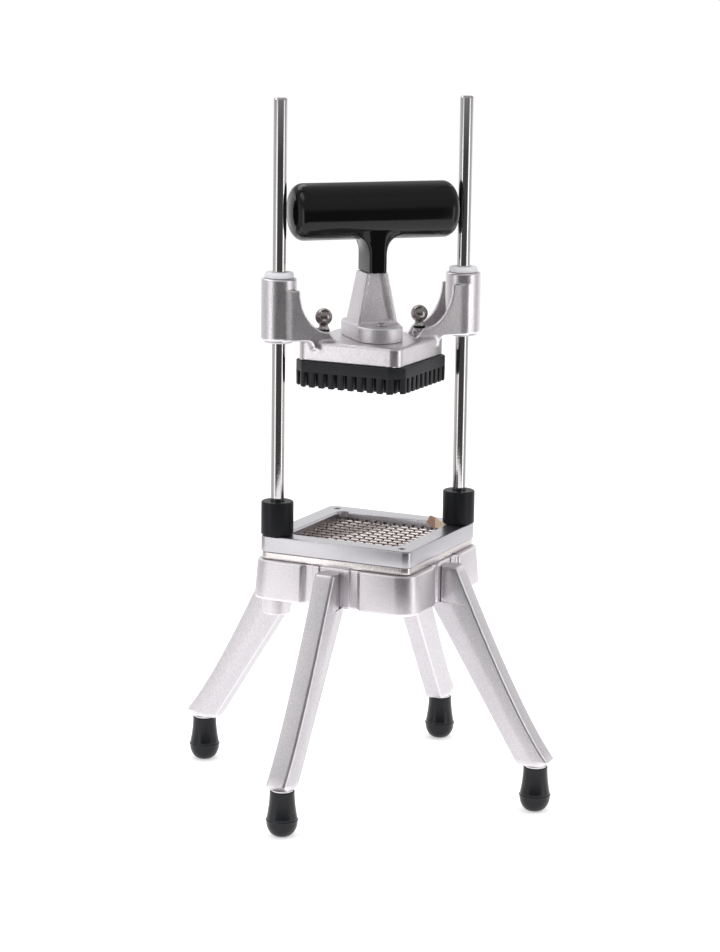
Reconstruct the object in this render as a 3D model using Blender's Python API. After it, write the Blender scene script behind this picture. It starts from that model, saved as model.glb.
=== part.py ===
# A hand-operated vegetable dicer: a pusher head slides on two guide rods and
# drives a block of pegs through a grid of crossed blades on a four-legged stand.
# Frame: +Z up, the floor at Z = 0, the two rods on the X axis, the front at -Y.
import bpy
import bmesh
import numpy as np
from math import cos, pi, radians, sin, sqrt
from mathutils import Matrix, Vector

for thing in list(bpy.data.objects):
    bpy.data.objects.remove(thing, do_unlink=True)

# Clearances and counts
gap = 0.0003                     # between pieces that meet
overrun = 0.002                  # how far a cutter passes the face that it cuts
weld = 0.001                     # how far shapes joined into one casting overlap
merge_distance = 0.000005
root_two = sqrt(2)
tube_segments = 24
bolt_segments = 8
foot_segments = 14
bushing_segments = 18
corner_steps = 3

# Pegs of the push block, from which the opening and the frame follow
slot_count = 11
peg_pitch = 0.0082
slot_width = 0.0032
outer_peg_width = 0.0039
peg_length = 0.0117
peg_tip_length = 0.0022
peg_tip_inset = 0.0006
block_rim_height = 0.0084
block_corner_cut = 0.0096
block_half = (slot_count - 1) / 2 * peg_pitch + slot_width / 2 + outer_peg_width

# Blades, their end bars and the two-part blade frame
block_side_clearance = 0.001
frame_rim_width = 0.0164
frame_corner_radius = 0.0045
frame_edge_chamfer = 0.0008
frame_height = 0.0124
opening_corner_radius = 0.008
base_plate_thickness = 0.0054
base_plate_inset = 0.0006
base_opening_corner_radius = 0.016
blade_thickness = 0.0006
blade_height = 0.0027
blade_scallop_depth = 0.0007
comb_inset = 0.0005
comb_thickness = 0.004
comb_height = 0.007
comb_web = 0.0008
comb_end_margin = 0.003
opening_half = block_half + block_side_clearance
frame_half = opening_half + frame_rim_width
comb_inner = opening_half + comb_inset
comb_outer = comb_inner + comb_thickness
comb_half_length = (slot_count - 1) / 2 * peg_pitch + comb_end_margin

# Guide rods and their feet in the body
rod_diameter = 0.0105
rod_corner_inset = 0.015
rod_free_height = 0.3102
rod_end_chamfer = 0.0012
rod_radius = rod_diameter / 2
rod_reach = frame_half * root_two - rod_corner_inset
rod_hole_radius = rod_radius + gap
bumper_wall = 0.007
bumper_height = 0.0261
bumper_edge = 0.0008
bumper_radius = rod_hole_radius + bumper_wall
rod_bolt_radius = 0.0022
rod_bolt_head_radius = 0.0042
rod_bolt_head_height = 0.0044
rod_bolt_reach = 0.012
rod_boss_floor = 0.003
frame_screw_radius = 0.0015
frame_screw_head_radius = 0.0026
frame_screw_head_height = 0.0018
frame_screw_sink = 0.0003
frame_screw_bite = 0.009

# Body casting
body_height = 0.031
body_shoulder = 0.0041
body_draft = 0.002
body_corner_radius = 0.015
body_edge_radius = 0.0025
body_top_edge = 0.0012
body_wall = 0.0095
pocket_depth = 0.0025
pocket_half = 0.0225
pocket_fillet = 0.002
land_inner = 0.0098
land_outer = 0.0155
land_slope = 0.0006
land_sink = 0.0011
flange_thickness = 0.0065
flange_inset = 0.0005
rod_boss_radius = 0.0115
rod_boss_drop = 0.013
rod_boss_taper = 0.0005
screw_boss_radius = 0.0075
body_half = frame_half + body_shoulder
pocket_floor = body_half - pocket_depth
cavity_half = pocket_floor - body_wall

# Legs and feet
foot_height = 0.0352
foot_neck_radius = 0.0094
foot_bulge_radius = 0.012
foot_bulge_height = 0.0125
foot_flat_radius = 0.004
foot_seam = 0.0004
foot_bore_depth = 0.021
washer_thickness = 0.001
washer_radius = 0.0085
stud_radius = 0.003
stud_reach = 0.011
leg_rise = 0.1222
leg_spread = 0.0758
leg_proud = 0.0085
leg_top_drop = 0.003
leg_top_bevel = 0.0015
leg_half_width = 0.008
leg_ridge_half_width = 0.0092
leg_inner_half_width = 0.0072
leg_heel_out = 0.0127
leg_heel_cut = 0.0045
leg_toe_in = 0.013
leg_curve_rise_share = 0.711
leg_curve_out_share = 0.63
leg_steps = 6
leg_bolt_radius = 0.003
leg_bolt_head_radius = 0.0045
leg_bolt_head_height = 0.004
leg_bolt_bite = 0.006
leg_bolt_height_shares = (0.25, 0.75)   # of the cavity's height under the flange

# Pusher head
head_lift = 0.1243               # lower bushing flanges above the bumpers, as shown
bushing_wall = 0.0019
bushing_flange_radius = 0.0113
bushing_top_flange = 0.0043
bushing_top_round = 0.0014
bushing_low_flange = 0.0012
bushing_length = 0.016
sleeve_wall = 0.00605
sleeve_height = 0.0479
sleeve_edge = 0.0012
plate_drop = 0.0157              # plate underside below the sleeves' lower ends
plate_thickness = 0.0148
plate_inset = 0.003
plate_corner_radius = 0.008
plate_bevel = 0.0025
web_thickness = 0.0036
web_inset = 0.0002               # webs inside the sleeves' outer faces and ends
web_top_drop = 0.0085
web_scoop_width = 0.024
web_scoop_height = 0.033
web_scoop_steps = 9
web_neck_gap = 0.0008
web_toe_run = 0.005
web_underscoop = 0.0065
web_underscoop_reach = 0.0179
web_underscoop_steps = 4
channel_floor = 0.0036
bushing_radius = rod_hole_radius + bushing_wall
sleeve_bore_radius = bushing_radius + gap
sleeve_radius = sleeve_bore_radius + sleeve_wall
plate_half = block_half - plate_inset

# Handle
stem_base_radius = 0.0178
stem_base_reach = 0.018
stem_base_height = 0.0115
stem_base_edge = 0.0012
stem_column_height = 0.0395
stem_foot_half_width = 0.0168
stem_foot_half_depth = 0.014
stem_top_half_width = 0.009
stem_top_half_depth = 0.012
stem_recess_depth = 0.004
stem_rib = 0.0034
stem_recess_foot = 0.0022
tang_half_width = 0.0045
tang_half_depth = 0.0075
stem_corner = 0.0015
stem_steps = 6
tang_height = 0.026
stem_screw_reach = 0.0212
stem_screw_radius = 0.0022
stem_screw_head_radius = 0.0042
stem_screw_head_height = 0.0028
stem_screw_crown_radius = 0.003
stem_screw_crown = 0.001
stem_screw_bite = 0.01
neck_half_width = 0.007
neck_half_depth = 0.0158
neck_corner_radius = 0.0035
grip_centre_rise = 0.0473        # grip axis above the stem's column
grip_radius = 0.022
grip_side_clearance = 0.0031     # between each end of the grip and its rod
grip_end_radius = 0.009
grip_end_crown = 0.0015
grip_segments = 24
neck_flare_width_shares = (0.0, 0.02, 0.12, 0.4, 1.0)
neck_flare_rise_shares = (0.0, 0.45, 0.66, 0.82, 1.0)
neck_flare = 0.016
neck_into_grip = 0.009

# Spring-loaded pull pins that hold the push block
pin_reach = 0.0392
pin_travel = 0.005
pin_shaft_radius = 0.0017
pin_nose_radius = 0.0027
pin_nose_engagement = 0.0045
pin_nose_length = 0.011
pin_nose_chamfer = 0.0006
pin_hole_depth = 0.0065
barrel_thread_radius = 0.0042
barrel_collar_radius = 0.0052
barrel_collar_height = 0.006
barrel_edge = 0.0006
barrel_bore_radius = 0.0031
barrel_bore_ceiling = 0.004      # barrel bore ends below the collar's top
barrel_foot_clearance = 0.0016
ring_radius = 0.0049
ring_thickness = 0.0011
knob_radius = 0.0067
knob_neck_radius = 0.0034
knob_skirt_radius = 0.0043
knob_skirt_height = 0.0022
knob_rise = 0.0095               # ball centre above the knob's lower end
knob_steps = 6
spring_wire_radius = 0.00028
spring_coil_radius = 0.0024
spring_turns = 5
spring_turn_points = 6
spring_wire_sides = 4

# Curved bronze leaf standing in the right corner of the opening
clip_thickness = block_side_clearance - 2 * gap
clip_long_run = 0.011            # from the corner's curve back to the leaf's end
clip_peak_run = 0.0077
clip_shoulder_run = 0.0032
clip_short_run = 0.004
clip_peak = 0.0049
clip_shoulder = 0.0034
clip_ramp = 0.0014

# Heights, from the floor up
leg_bottom = foot_height + washer_thickness + 2 * gap
body_bottom = leg_bottom + leg_rise
body_top = body_bottom + body_height
base_bottom = body_top + gap
base_top = base_bottom + base_plate_thickness
frame_bottom = base_top + gap
frame_top = frame_bottom + frame_height
comb_top = frame_bottom + comb_height
lower_blade_bottom = frame_bottom + comb_web + gap
upper_blade_bottom = lower_blade_bottom + blade_height + gap
bumper_bottom = frame_top + gap
bumper_top = bumper_bottom + bumper_height
rod_top = bumper_top + rod_free_height
sleeve_bottom = bumper_top + head_lift + bushing_low_flange + gap
sleeve_top = sleeve_bottom + sleeve_height
plate_bottom = sleeve_bottom - plate_drop
plate_top = plate_bottom + plate_thickness
block_top = plate_bottom - gap
slot_ceiling = block_top - block_rim_height
peg_bottom = slot_ceiling - peg_length
stem_bottom = plate_top + gap
stem_base_top = stem_bottom + stem_base_height
column_top = stem_base_top + stem_column_height
grip_height = column_top + grip_centre_rise


# Colours, roughness and metallic value of each finish
def finish(name, colour, roughness, metallic=0.0):
    made = bpy.data.materials.new(name)
    made.use_nodes = True
    shader = made.node_tree.nodes["Principled BSDF"]
    shader.inputs["Base Color"].default_value = (*colour, 1.0)
    shader.inputs["Roughness"].default_value = roughness
    shader.inputs["Metallic"].default_value = metallic
    made.diffuse_color = (*colour, 1.0)
    return made


cast_aluminium = finish("cast_aluminium", (0.78, 0.77, 0.79), 0.42, 0.9)
milled_aluminium = finish("milled_aluminium", (0.62, 0.64, 0.68), 0.32, 0.9)
polished_steel = finish("polished_steel", (0.66, 0.65, 0.65), 0.12, 1.0)
blade_steel = finish("blade_steel", (0.8, 0.78, 0.76), 0.2, 1.0)
black_plastic = finish("black_plastic", (0.03, 0.03, 0.032), 0.45)
glossy_black = finish("glossy_black", (0.012, 0.012, 0.014), 0.12)
black_rubber = finish("black_rubber", (0.018, 0.018, 0.02), 0.5)
white_nylon = finish("white_nylon", (0.85, 0.84, 0.86), 0.5)
gunmetal = finish("gunmetal", (0.11, 0.105, 0.1), 0.3, 0.85)
bronze = finish("bronze", (0.52, 0.33, 0.2), 0.4, 0.7)


# Empties: the joint frames, and the square frame turned 45 degrees so that its
# local X faces the front right and its local Y the back right
def empty(name, place=(0, 0, 0), turn=0.0, parent=None):
    made = bpy.data.objects.new(name, None)
    bpy.context.collection.objects.link(made)
    made.location = place
    made.rotation_euler = (0, 0, turn)
    made.parent = parent
    return made


square_turn = radians(-45)
stand_square = empty("stand_square", turn=square_turn)
pusher = empty("pusher_slide")
pusher_square = empty("pusher_square", turn=square_turn, parent=pusher)


# Mesh helpers
def build_object(name, mesh_data, material, parent=None, place=(0, 0, 0), turn=0.0):
    made = bpy.data.objects.new(name, mesh_data)
    bpy.context.collection.objects.link(made)
    if material is not None:
        mesh_data.materials.clear()
        mesh_data.materials.append(material)
    made.location = place
    made.rotation_euler = (0, 0, turn)
    made.parent = parent
    return made


def mesh_from(bm, name, smooth_angle=35):
    bmesh.ops.remove_doubles(bm, verts=bm.verts, dist=merge_distance)
    bmesh.ops.recalc_face_normals(bm, faces=bm.faces)
    made = bpy.data.meshes.new(name)
    bm.to_mesh(made)
    bm.free()
    made.shade_smooth()
    made.set_sharp_from_angle(angle=radians(smooth_angle))
    return made


def loft(sections):
    """Joins rings of equally many points and closes both ends."""
    bm = bmesh.new()
    rings = [[bm.verts.new(point) for point in ring] for ring in sections]
    for low, high in zip(rings, rings[1:]):
        for i in range(len(low)):
            j = (i + 1) % len(low)
            bm.faces.new((low[i], low[j], high[j], high[i]))
    bm.faces.new(rings[0][::-1])
    bm.faces.new(rings[-1])
    return bm


def prism(outline, bottom, top):
    """An outline of (x, y) points, extruded straight up."""
    return loft([[(x, y, z) for x, y in outline] for z in (bottom, top)])


def turned(profile, segments):
    """Spins a closed (radius, height) profile about the Z axis."""
    bm = bmesh.new()
    ring = [bm.verts.new((radius, 0, z)) for radius, z in profile]
    edges = []
    for i, vert in enumerate(ring):
        following = ring[(i + 1) % len(ring)]
        on_axis = vert.co.x < merge_distance and following.co.x < merge_distance
        if not on_axis:
            edges.append(bm.edges.new((vert, following)))
    bmesh.ops.spin(bm, geom=edges, cent=(0, 0, 0), axis=(0, 0, 1), angle=2 * pi,
                   steps=segments, use_merge=True)
    bmesh.ops.remove_doubles(bm, verts=bm.verts, dist=merge_distance)
    return bm


def rounded_rectangle(half_x, half_y, radius, steps=corner_steps):
    points = []
    for turn, sign_x, sign_y in ((0, 1, 1), (90, -1, 1), (180, -1, -1), (270, 1, -1)):
        for i in range(steps + 1):
            angle = radians(turn + 90 * i / steps)
            points.append((sign_x * (half_x - radius) + radius * cos(angle),
                           sign_y * (half_y - radius) + radius * sin(angle)))
    return points


def circle(radius, segments, centre=(0, 0)):
    angles = [2 * pi * i / segments for i in range(segments)]
    return [(centre[0] + radius * cos(a), centre[1] + radius * sin(a)) for a in angles]


def tube_profile(inner, outer, bottom, top, edge):
    """A tube's half section with a small chamfer at its outer ends."""
    return [(inner, bottom), (outer - edge, bottom), (outer, bottom + edge),
            (outer, top - edge), (outer - edge, top), (inner, top)]


def joined(*parts):
    """Several bmeshes as one, each staying a body of its own."""
    whole = bmesh.new()
    for part in parts:
        scratch = bpy.data.meshes.new("scratch")
        part.to_mesh(scratch)
        part.free()
        whole.from_mesh(scratch)
        bpy.data.meshes.remove(scratch)
    return whole


def moved(bm, offset):
    bmesh.ops.translate(bm, vec=Vector(offset), verts=bm.verts)
    return bm


def spun(bm, angle, axis="Z"):
    bmesh.ops.rotate(bm, cent=(0, 0, 0), matrix=Matrix.Rotation(angle, 3, axis), verts=bm.verts)
    return bm


def boolean(target, bm, operation, parent=None, turn=0.0):
    """Adds an exact Boolean to target with a hidden helper shape."""
    helper = build_object("helper", mesh_from(bm, "helper"), None, parent=parent, turn=turn)
    helper.hide_render = True
    helper.display_type = "WIRE"
    change = target.modifiers.new(operation.lower(), "BOOLEAN")
    change.operation = operation
    change.solver = "EXACT"
    change.object = helper
    return helper


# Body casting: a ring with corner blocks, leg pockets and bosses
def body_outline(half, inset=0.0):
    """Corner blocks at the corners, and on each side a pocket with two lands."""
    face = half - inset
    corner = face - body_corner_radius
    land = pocket_floor + pocket_depth - land_sink - inset
    floor = pocket_floor - inset
    side = [(-pocket_half - pocket_fillet, face), (-pocket_half, floor),
            (-land_outer - land_slope, floor), (-land_outer, land),
            (-land_inner - land_slope, land), (-land_inner, floor)]
    side = side + [(-a, b) for a, b in reversed(side)]
    arc = [(corner + body_corner_radius * sin(radians(90 * i / corner_steps)),
            corner + body_corner_radius * cos(radians(90 * i / corner_steps)))
           for i in range(corner_steps + 1)]
    quarter = side + arc
    points = []
    for k in range(4):
        c, s = round(cos(pi / 2 * k)), round(sin(pi / 2 * k))
        points += [(c * a + s * b, -s * a + c * b) for a, b in quarter]
    return points


def cavity_outline():
    """A square whose corners give way to round bosses on the diagonals."""
    points = []
    for k, boss_radius in enumerate((rod_boss_radius, screw_boss_radius) * 2):
        centre = rod_reach / root_two
        reach = sqrt(boss_radius ** 2 - (cavity_half - centre) ** 2)
        start = np.arctan2(cavity_half - centre, -reach)
        stop = np.arctan2(-reach, cavity_half - centre) + 2 * pi
        arc = [(centre + boss_radius * cos(a), centre + boss_radius * sin(a))
               for a in np.linspace(start, stop, 2 * corner_steps + 1)]
        c, s = round(cos(pi / 2 * k)), round(sin(pi / 2 * k))
        points += [(c * a + s * b, -s * a + c * b) for a, b in arc]
    return points


rings = []
for inset, z in ((body_edge_radius, body_bottom), (0.0, body_bottom + body_edge_radius),
                 (0.0, body_top - body_top_edge), (body_top_edge, body_top)):
    drafted = body_half + body_draft * (body_top - z) / body_height
    rings.append([(a, b, z) for a, b in body_outline(drafted, inset)])
body = build_object("body_casting", mesh_from(loft(rings), "body_casting"), cast_aluminium,
                    parent=stand_square)
rod_places = ((-rod_reach, 0, 0), (rod_reach, 0, 0))


def rod_boss():
    return prism(circle(rod_boss_radius - rod_boss_taper, tube_segments),
                 body_bottom - rod_boss_drop, body_bottom + flange_thickness)


boolean(body, joined(*[moved(rod_boss(), place) for place in rod_places]), "UNION")
flange_bottom = body_top - flange_thickness
boolean(body, prism(cavity_outline(), body_bottom - overrun, flange_bottom), "DIFFERENCE",
        parent=stand_square)
flange_opening = opening_half + flange_inset
boolean(body, prism(rounded_rectangle(flange_opening, flange_opening, opening_corner_radius),
                    flange_bottom - overrun, body_top + overrun), "DIFFERENCE", parent=stand_square)

# Where the rods end in the bosses, and the bolts that hold them from below
boss_bottom = body_bottom - rod_boss_drop
counterbore_top = boss_bottom + rod_bolt_head_height + 2 * gap
rod_bottom = counterbore_top + rod_boss_floor


def rod_socket():
    """Counterbore, bolt hole and rod bore as one turned cutter."""
    head_hole = rod_bolt_head_radius + gap
    shank_hole = rod_bolt_radius + gap
    return turned([(0, boss_bottom - overrun), (head_hole, boss_bottom - overrun),
                   (head_hole, counterbore_top), (shank_hole, counterbore_top),
                   (shank_hole, rod_bottom - gap), (rod_hole_radius, rod_bottom - gap),
                   (rod_hole_radius, body_top + overrun), (0, body_top + overrun)],
                  bushing_segments)


boolean(body, joined(*[moved(rod_socket(), place) for place in rod_places]), "DIFFERENCE")

# Leg bolts: two through each side wall, heads inside the cavity
leg_bolt_heights = [body_bottom + share * (flange_bottom - body_bottom)
                    for share in leg_bolt_height_shares]
leg_angles = {"front_right": -45, "front_left": -135, "back_left": 135, "back_right": 45}


def lying_cylinder(radius, start, stop, height):
    """A cylinder along +X at the given height."""
    bm = prism(circle(radius, bolt_segments), start, stop)
    spun(bm, pi / 2, "Y")
    return moved(bm, (0, 0, height))


wall_holes = [spun(lying_cylinder(leg_bolt_radius + gap, cavity_half - overrun,
                                  pocket_floor + overrun, z), radians(angle))
              for angle in leg_angles.values() for z in leg_bolt_heights]
boolean(body, joined(*wall_holes), "DIFFERENCE")

# Screws at the front and back corners clamp the blade frame to the body
screw_places = {"front": (0, -rod_reach, 0), "back": (0, rod_reach, 0)}
screw_top = frame_top - frame_screw_sink
screw_cone_bottom = screw_top - frame_screw_head_height
screw_tip = body_top - frame_screw_bite
screw_profile = [(0, screw_tip), (frame_screw_radius, screw_tip),
                 (frame_screw_radius, screw_cone_bottom), (frame_screw_head_radius, screw_top),
                 (0, screw_top)]
screw_mesh = mesh_from(turned(screw_profile, bolt_segments), "frame_screw")
for side, place in screw_places.items():
    build_object("frame_screw_" + side, screw_mesh, polished_steel, place=place)


def screw_holes():
    """The space that the frame screws need, open at the top."""
    shank = frame_screw_radius + gap
    head = frame_screw_head_radius + gap
    hole = [(0, screw_tip - gap), (shank, screw_tip - gap), (shank, screw_cone_bottom - gap),
            (head, screw_top), (head, frame_top + overrun), (0, frame_top + overrun)]
    return joined(*[moved(turned(hole, bolt_segments), place) for place in screw_places.values()])


boolean(body, screw_holes(), "DIFFERENCE")


# Legs: a hexagonal section lofted from the body pocket down to the foot
foot_reach = body_half + body_draft + leg_spread
leg_top = body_top - leg_top_drop
leg_top_out = body_half + leg_proud
leg_heel = foot_reach + leg_heel_out
leg_heel_height = leg_bottom + leg_heel_cut
leg_seat = pocket_floor + gap


def outer_edge(z):
    """Radius of the leg's outer edge at a height: a quadratic curve, bent outward."""
    bend_z = leg_top - leg_curve_rise_share * (leg_top - leg_heel_height)
    bend_r = leg_top_out + leg_curve_out_share * (leg_heel - leg_top_out)
    square_term = leg_top - 2 * bend_z + leg_heel_height
    linear_term = 2 * (bend_z - leg_top)
    root = sqrt(linear_term ** 2 - 4 * square_term * (leg_top - z))
    t = (-linear_term - root) / (2 * square_term)
    return (1 - t) ** 2 * leg_top_out + 2 * t * (1 - t) * bend_r + t ** 2 * leg_heel


def inner_edge(z):
    """Radius of the straight inner edge below the body."""
    shoulder = body_bottom - gap
    share = (shoulder - z) / (shoulder - leg_bottom)
    return cavity_half + gap + share * (foot_reach - leg_toe_in - cavity_half - gap)


def leg_section(outer, inner, z):
    middle = (outer + inner) / 2
    return [(outer, leg_half_width, z), (middle, leg_ridge_half_width, z),
            (inner, leg_inner_half_width, z), (inner, -leg_inner_half_width, z),
            (middle, -leg_ridge_half_width, z), (outer, -leg_half_width, z)]


shoulder_z = body_bottom - gap
leg_rings = [leg_section(leg_top_out - leg_top_bevel, leg_seat, leg_top),
             leg_section(outer_edge(leg_top - leg_top_bevel), leg_seat, leg_top - leg_top_bevel),
             leg_section(outer_edge(shoulder_z), leg_seat, shoulder_z),
             leg_section(outer_edge(shoulder_z), inner_edge(shoulder_z), shoulder_z)]
for z in np.linspace(shoulder_z, leg_heel_height, leg_steps + 1)[1:]:
    leg_rings.append(leg_section(outer_edge(z), inner_edge(z), z))
leg_rings.append(leg_section(leg_heel - leg_heel_cut, inner_edge(leg_bottom), leg_bottom))
leg_pattern = build_object("leg_pattern", mesh_from(loft(leg_rings), "leg", 25), cast_aluminium)
boolean(leg_pattern, joined(
    moved(prism(circle(stud_radius + gap, bolt_segments), leg_bottom - overrun,
                leg_bottom + stud_reach + gap), (foot_reach, 0, 0)),
    *[lying_cylinder(leg_bolt_radius + gap, leg_seat - overrun, leg_seat + leg_bolt_bite + gap, z)
      for z in leg_bolt_heights]), "DIFFERENCE")


def applied(thing):
    """The object's mesh with its modifiers applied."""
    bpy.context.view_layer.update()
    evaluated = thing.evaluated_get(bpy.context.evaluated_depsgraph_get())
    return bpy.data.meshes.new_from_object(evaluated)


leg_mesh = applied(leg_pattern)
bpy.data.objects.remove(leg_pattern, do_unlink=True)


# Feet: rubber, with a domed sole, a mould seam and a bore for the stud
def foot_profile():
    dome = [(foot_flat_radius + (foot_bulge_radius - foot_flat_radius) * sin(a),
             foot_bulge_height * (1 - cos(a))) for a in np.linspace(0, pi / 2, corner_steps + 1)]
    neck_rise = foot_height - foot_bulge_height
    neck_shares = ((0.02, 0.86), (0.25, 0.4), (0.55, 0.08))
    neck = [(foot_neck_radius + out * (foot_bulge_radius - foot_neck_radius - foot_seam),
             foot_bulge_height + rise * neck_rise) for rise, out in neck_shares]
    bore = stud_radius + gap
    return [(0, 0)] + dome + neck + [(foot_neck_radius - foot_seam, foot_height),
                                     (bore, foot_height), (bore, foot_height - foot_bore_depth),
                                     (0, foot_height - foot_bore_depth)]


foot_mesh = mesh_from(turned(foot_profile(), foot_segments), "foot", 30)
washer_bottom = foot_height + gap
washer_top = washer_bottom + washer_thickness
washer_mesh = mesh_from(turned([(stud_radius + gap, washer_bottom), (washer_radius, washer_bottom),
                                (washer_radius, washer_top), (stud_radius + gap, washer_top)],
                               bushing_segments), "foot_washer")
stud_mesh = mesh_from(prism(circle(stud_radius, bolt_segments), foot_height - foot_bore_depth + gap,
                            leg_bottom + stud_reach), "foot_stud")
bolt_seat = cavity_half - gap
bolt_head = bolt_seat - leg_bolt_head_height
bolt_tip = leg_seat + leg_bolt_bite
leg_bolt = turned([(0, bolt_head), (leg_bolt_head_radius, bolt_head), (leg_bolt_head_radius, bolt_seat),
                   (leg_bolt_radius, bolt_seat), (leg_bolt_radius, bolt_tip), (0, bolt_tip)],
                  bolt_segments)
leg_bolt_mesh = mesh_from(spun(leg_bolt, pi / 2, "Y"), "leg_bolt")
for side, angle in leg_angles.items():
    turn = radians(angle)
    build_object("leg_" + side, leg_mesh, cast_aluminium, turn=turn)
    toe = (foot_reach * cos(turn), foot_reach * sin(turn), 0)
    build_object("foot_" + side, foot_mesh, black_rubber, place=toe)
    build_object("foot_washer_" + side, washer_mesh, polished_steel, place=toe)
    build_object("foot_stud_" + side, stud_mesh, polished_steel, place=toe)
    for level, z in zip(("lower", "upper"), leg_bolt_heights):
        build_object("leg_bolt_" + side + "_" + level, leg_bolt_mesh, polished_steel,
                     place=(0, 0, z), turn=turn)

# Blade frame: an upper rim with a rebate over the combs, and a thin plate below
frame_outline = rounded_rectangle(frame_half, frame_half, frame_corner_radius)
frame_face = frame_half - frame_edge_chamfer
top_outline = rounded_rectangle(frame_face, frame_face, frame_corner_radius - frame_edge_chamfer)
blade_frame = build_object("blade_frame", mesh_from(loft([
    [(a, b, frame_bottom) for a, b in frame_outline],
    [(a, b, frame_top - frame_edge_chamfer) for a, b in frame_outline],
    [(a, b, frame_top) for a, b in top_outline]]), "blade_frame"), milled_aluminium,
    parent=stand_square)
opening_outline = rounded_rectangle(opening_half, opening_half, opening_corner_radius)
boolean(blade_frame, prism(opening_outline, frame_bottom - overrun, frame_top + overrun),
        "DIFFERENCE", parent=stand_square)
rebate = comb_outer + gap
rebate_length = comb_half_length + gap
rebate_cross = [(rebate_length, rebate), (-rebate_length, rebate), (-rebate_length, rebate_length),
                (-rebate, rebate_length), (-rebate, -rebate_length), (-rebate_length, -rebate_length),
                (-rebate_length, -rebate), (rebate_length, -rebate), (rebate_length, -rebate_length),
                (rebate, -rebate_length), (rebate, rebate_length), (rebate_length, rebate_length)]
boolean(blade_frame, prism(rebate_cross, frame_bottom - overrun, comb_top + gap), "DIFFERENCE",
        parent=stand_square)


def rod_holes():
    """Clearance for both rods through the frame and the plate below it."""
    return joined(*[moved(prism(circle(rod_hole_radius, bushing_segments), base_bottom - overrun,
                                frame_top + overrun), place) for place in rod_places])


boolean(blade_frame, rod_holes(), "DIFFERENCE")
boolean(blade_frame, screw_holes(), "DIFFERENCE")

base_face = frame_half - base_plate_inset
base_plate = build_object("blade_frame_base", mesh_from(prism(
    rounded_rectangle(base_face, base_face, frame_corner_radius), base_bottom, base_top),
    "blade_frame_base"), polished_steel, parent=stand_square)
boolean(base_plate, prism(rounded_rectangle(opening_half, opening_half, base_opening_corner_radius),
                          base_bottom - overrun, base_top + overrun), "DIFFERENCE",
        parent=stand_square)
boolean(base_plate, rod_holes(), "DIFFERENCE")
boolean(base_plate, screw_holes(), "DIFFERENCE")

# Blade sets: two bars joined by thin blades, one set each way, the upper one scalloped
slot_places = [(k - (slot_count - 1) / 2) * peg_pitch for k in range(slot_count)]


def blade(place, bottom, scalloped):
    """A blade along X at the given Y; a scalloped edge dips where the other blades cross."""
    end = comb_outer - gap
    top = bottom + blade_height
    outline = [(-end, bottom), (end, bottom), (end, top), (comb_inner, top)]
    if scalloped:
        for x in reversed(slot_places):
            outline += [(x, top - blade_scallop_depth), (x - peg_pitch / 2, top)]
        outline[-1] = (-comb_inner, top)
    outline.append((-end, top))
    return loft([[(x, y, z) for x, z in outline]
                 for y in (place - blade_thickness / 2, place + blade_thickness / 2)])


def bar(side):
    """One end bar, across the blades."""
    near, far = side * comb_inner, side * comb_outer
    return prism([(near, -comb_half_length), (far, -comb_half_length), (far, comb_half_length),
                  (near, comb_half_length)], frame_bottom, comb_top)


for name, bottom, turn, scalloped in (("upper_blade_set", upper_blade_bottom, 0, True),
                                      ("lower_blade_set", lower_blade_bottom, pi / 2, False)):
    bars = mesh_from(spun(joined(bar(-1), bar(1)), turn), name)
    blade_set = build_object(name, bars, blade_steel, parent=stand_square)
    blades = joined(*[blade(place, bottom, scalloped) for place in slot_places])
    boolean(blade_set, spun(blades, turn), "UNION", parent=stand_square)


# Bronze leaf: follows the opening's right corner, one end standing above the frame
def clip_ring(a, b, normal_a, normal_b, top):
    inner = (a - normal_a * clip_thickness, b - normal_b * clip_thickness)
    bottom = comb_top + gap
    return [(a, b, bottom), (a, b, top), (*inner, top), (*inner, bottom)]


clip_line = opening_half - gap
clip_arc_radius = opening_corner_radius - gap
clip_centre = clip_line - clip_arc_radius
clip_edge = ((clip_long_run, 0), (clip_peak_run, clip_peak), (clip_shoulder_run, clip_shoulder),
             (0, clip_ramp))
clip_rings = [clip_ring(clip_centre - run, clip_line, 0, 1, frame_top + rise)
              for run, rise in clip_edge]
for a in np.linspace(pi / 2, 0, 2 * corner_steps + 1)[1:]:
    clip_rings.append(clip_ring(clip_centre + clip_arc_radius * cos(a),
                                clip_centre + clip_arc_radius * sin(a), cos(a), sin(a),
                                frame_top - gap))
clip_rings.append(clip_ring(clip_line, clip_centre - clip_short_run, 1, 0, frame_top - gap))
build_object("corner_clip", mesh_from(loft(clip_rings), "corner_clip"), bronze, parent=stand_square)

# Guide rods, their bolts and the black stops round their feet
rod_profile = [(0, rod_bottom), (rod_radius, rod_bottom), (rod_radius, rod_top - rod_end_chamfer),
               (rod_radius - rod_end_chamfer, rod_top), (0, rod_top)]
rod_solid = mesh_from(turned(rod_profile, bushing_segments), "guide_rod")
bolt_hole = turned([(0, rod_bottom - overrun), (rod_bolt_radius + gap, rod_bottom - overrun),
                    (rod_bolt_radius + gap, rod_bottom + rod_bolt_reach + gap),
                    (0, rod_bottom + rod_bolt_reach + gap)], bolt_segments)
rod_pattern = build_object("rod_pattern", rod_solid, polished_steel)
boolean(rod_pattern, bolt_hole, "DIFFERENCE")
rod_mesh = applied(rod_pattern)
bpy.data.objects.remove(rod_pattern, do_unlink=True)
bumper_mesh = mesh_from(turned(tube_profile(rod_hole_radius, bumper_radius, bumper_bottom,
                                            bumper_top, bumper_edge), bushing_segments), "bumper")
bolt_head_bottom = boss_bottom + gap
bolt_head_top = bolt_head_bottom + rod_bolt_head_height
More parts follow.
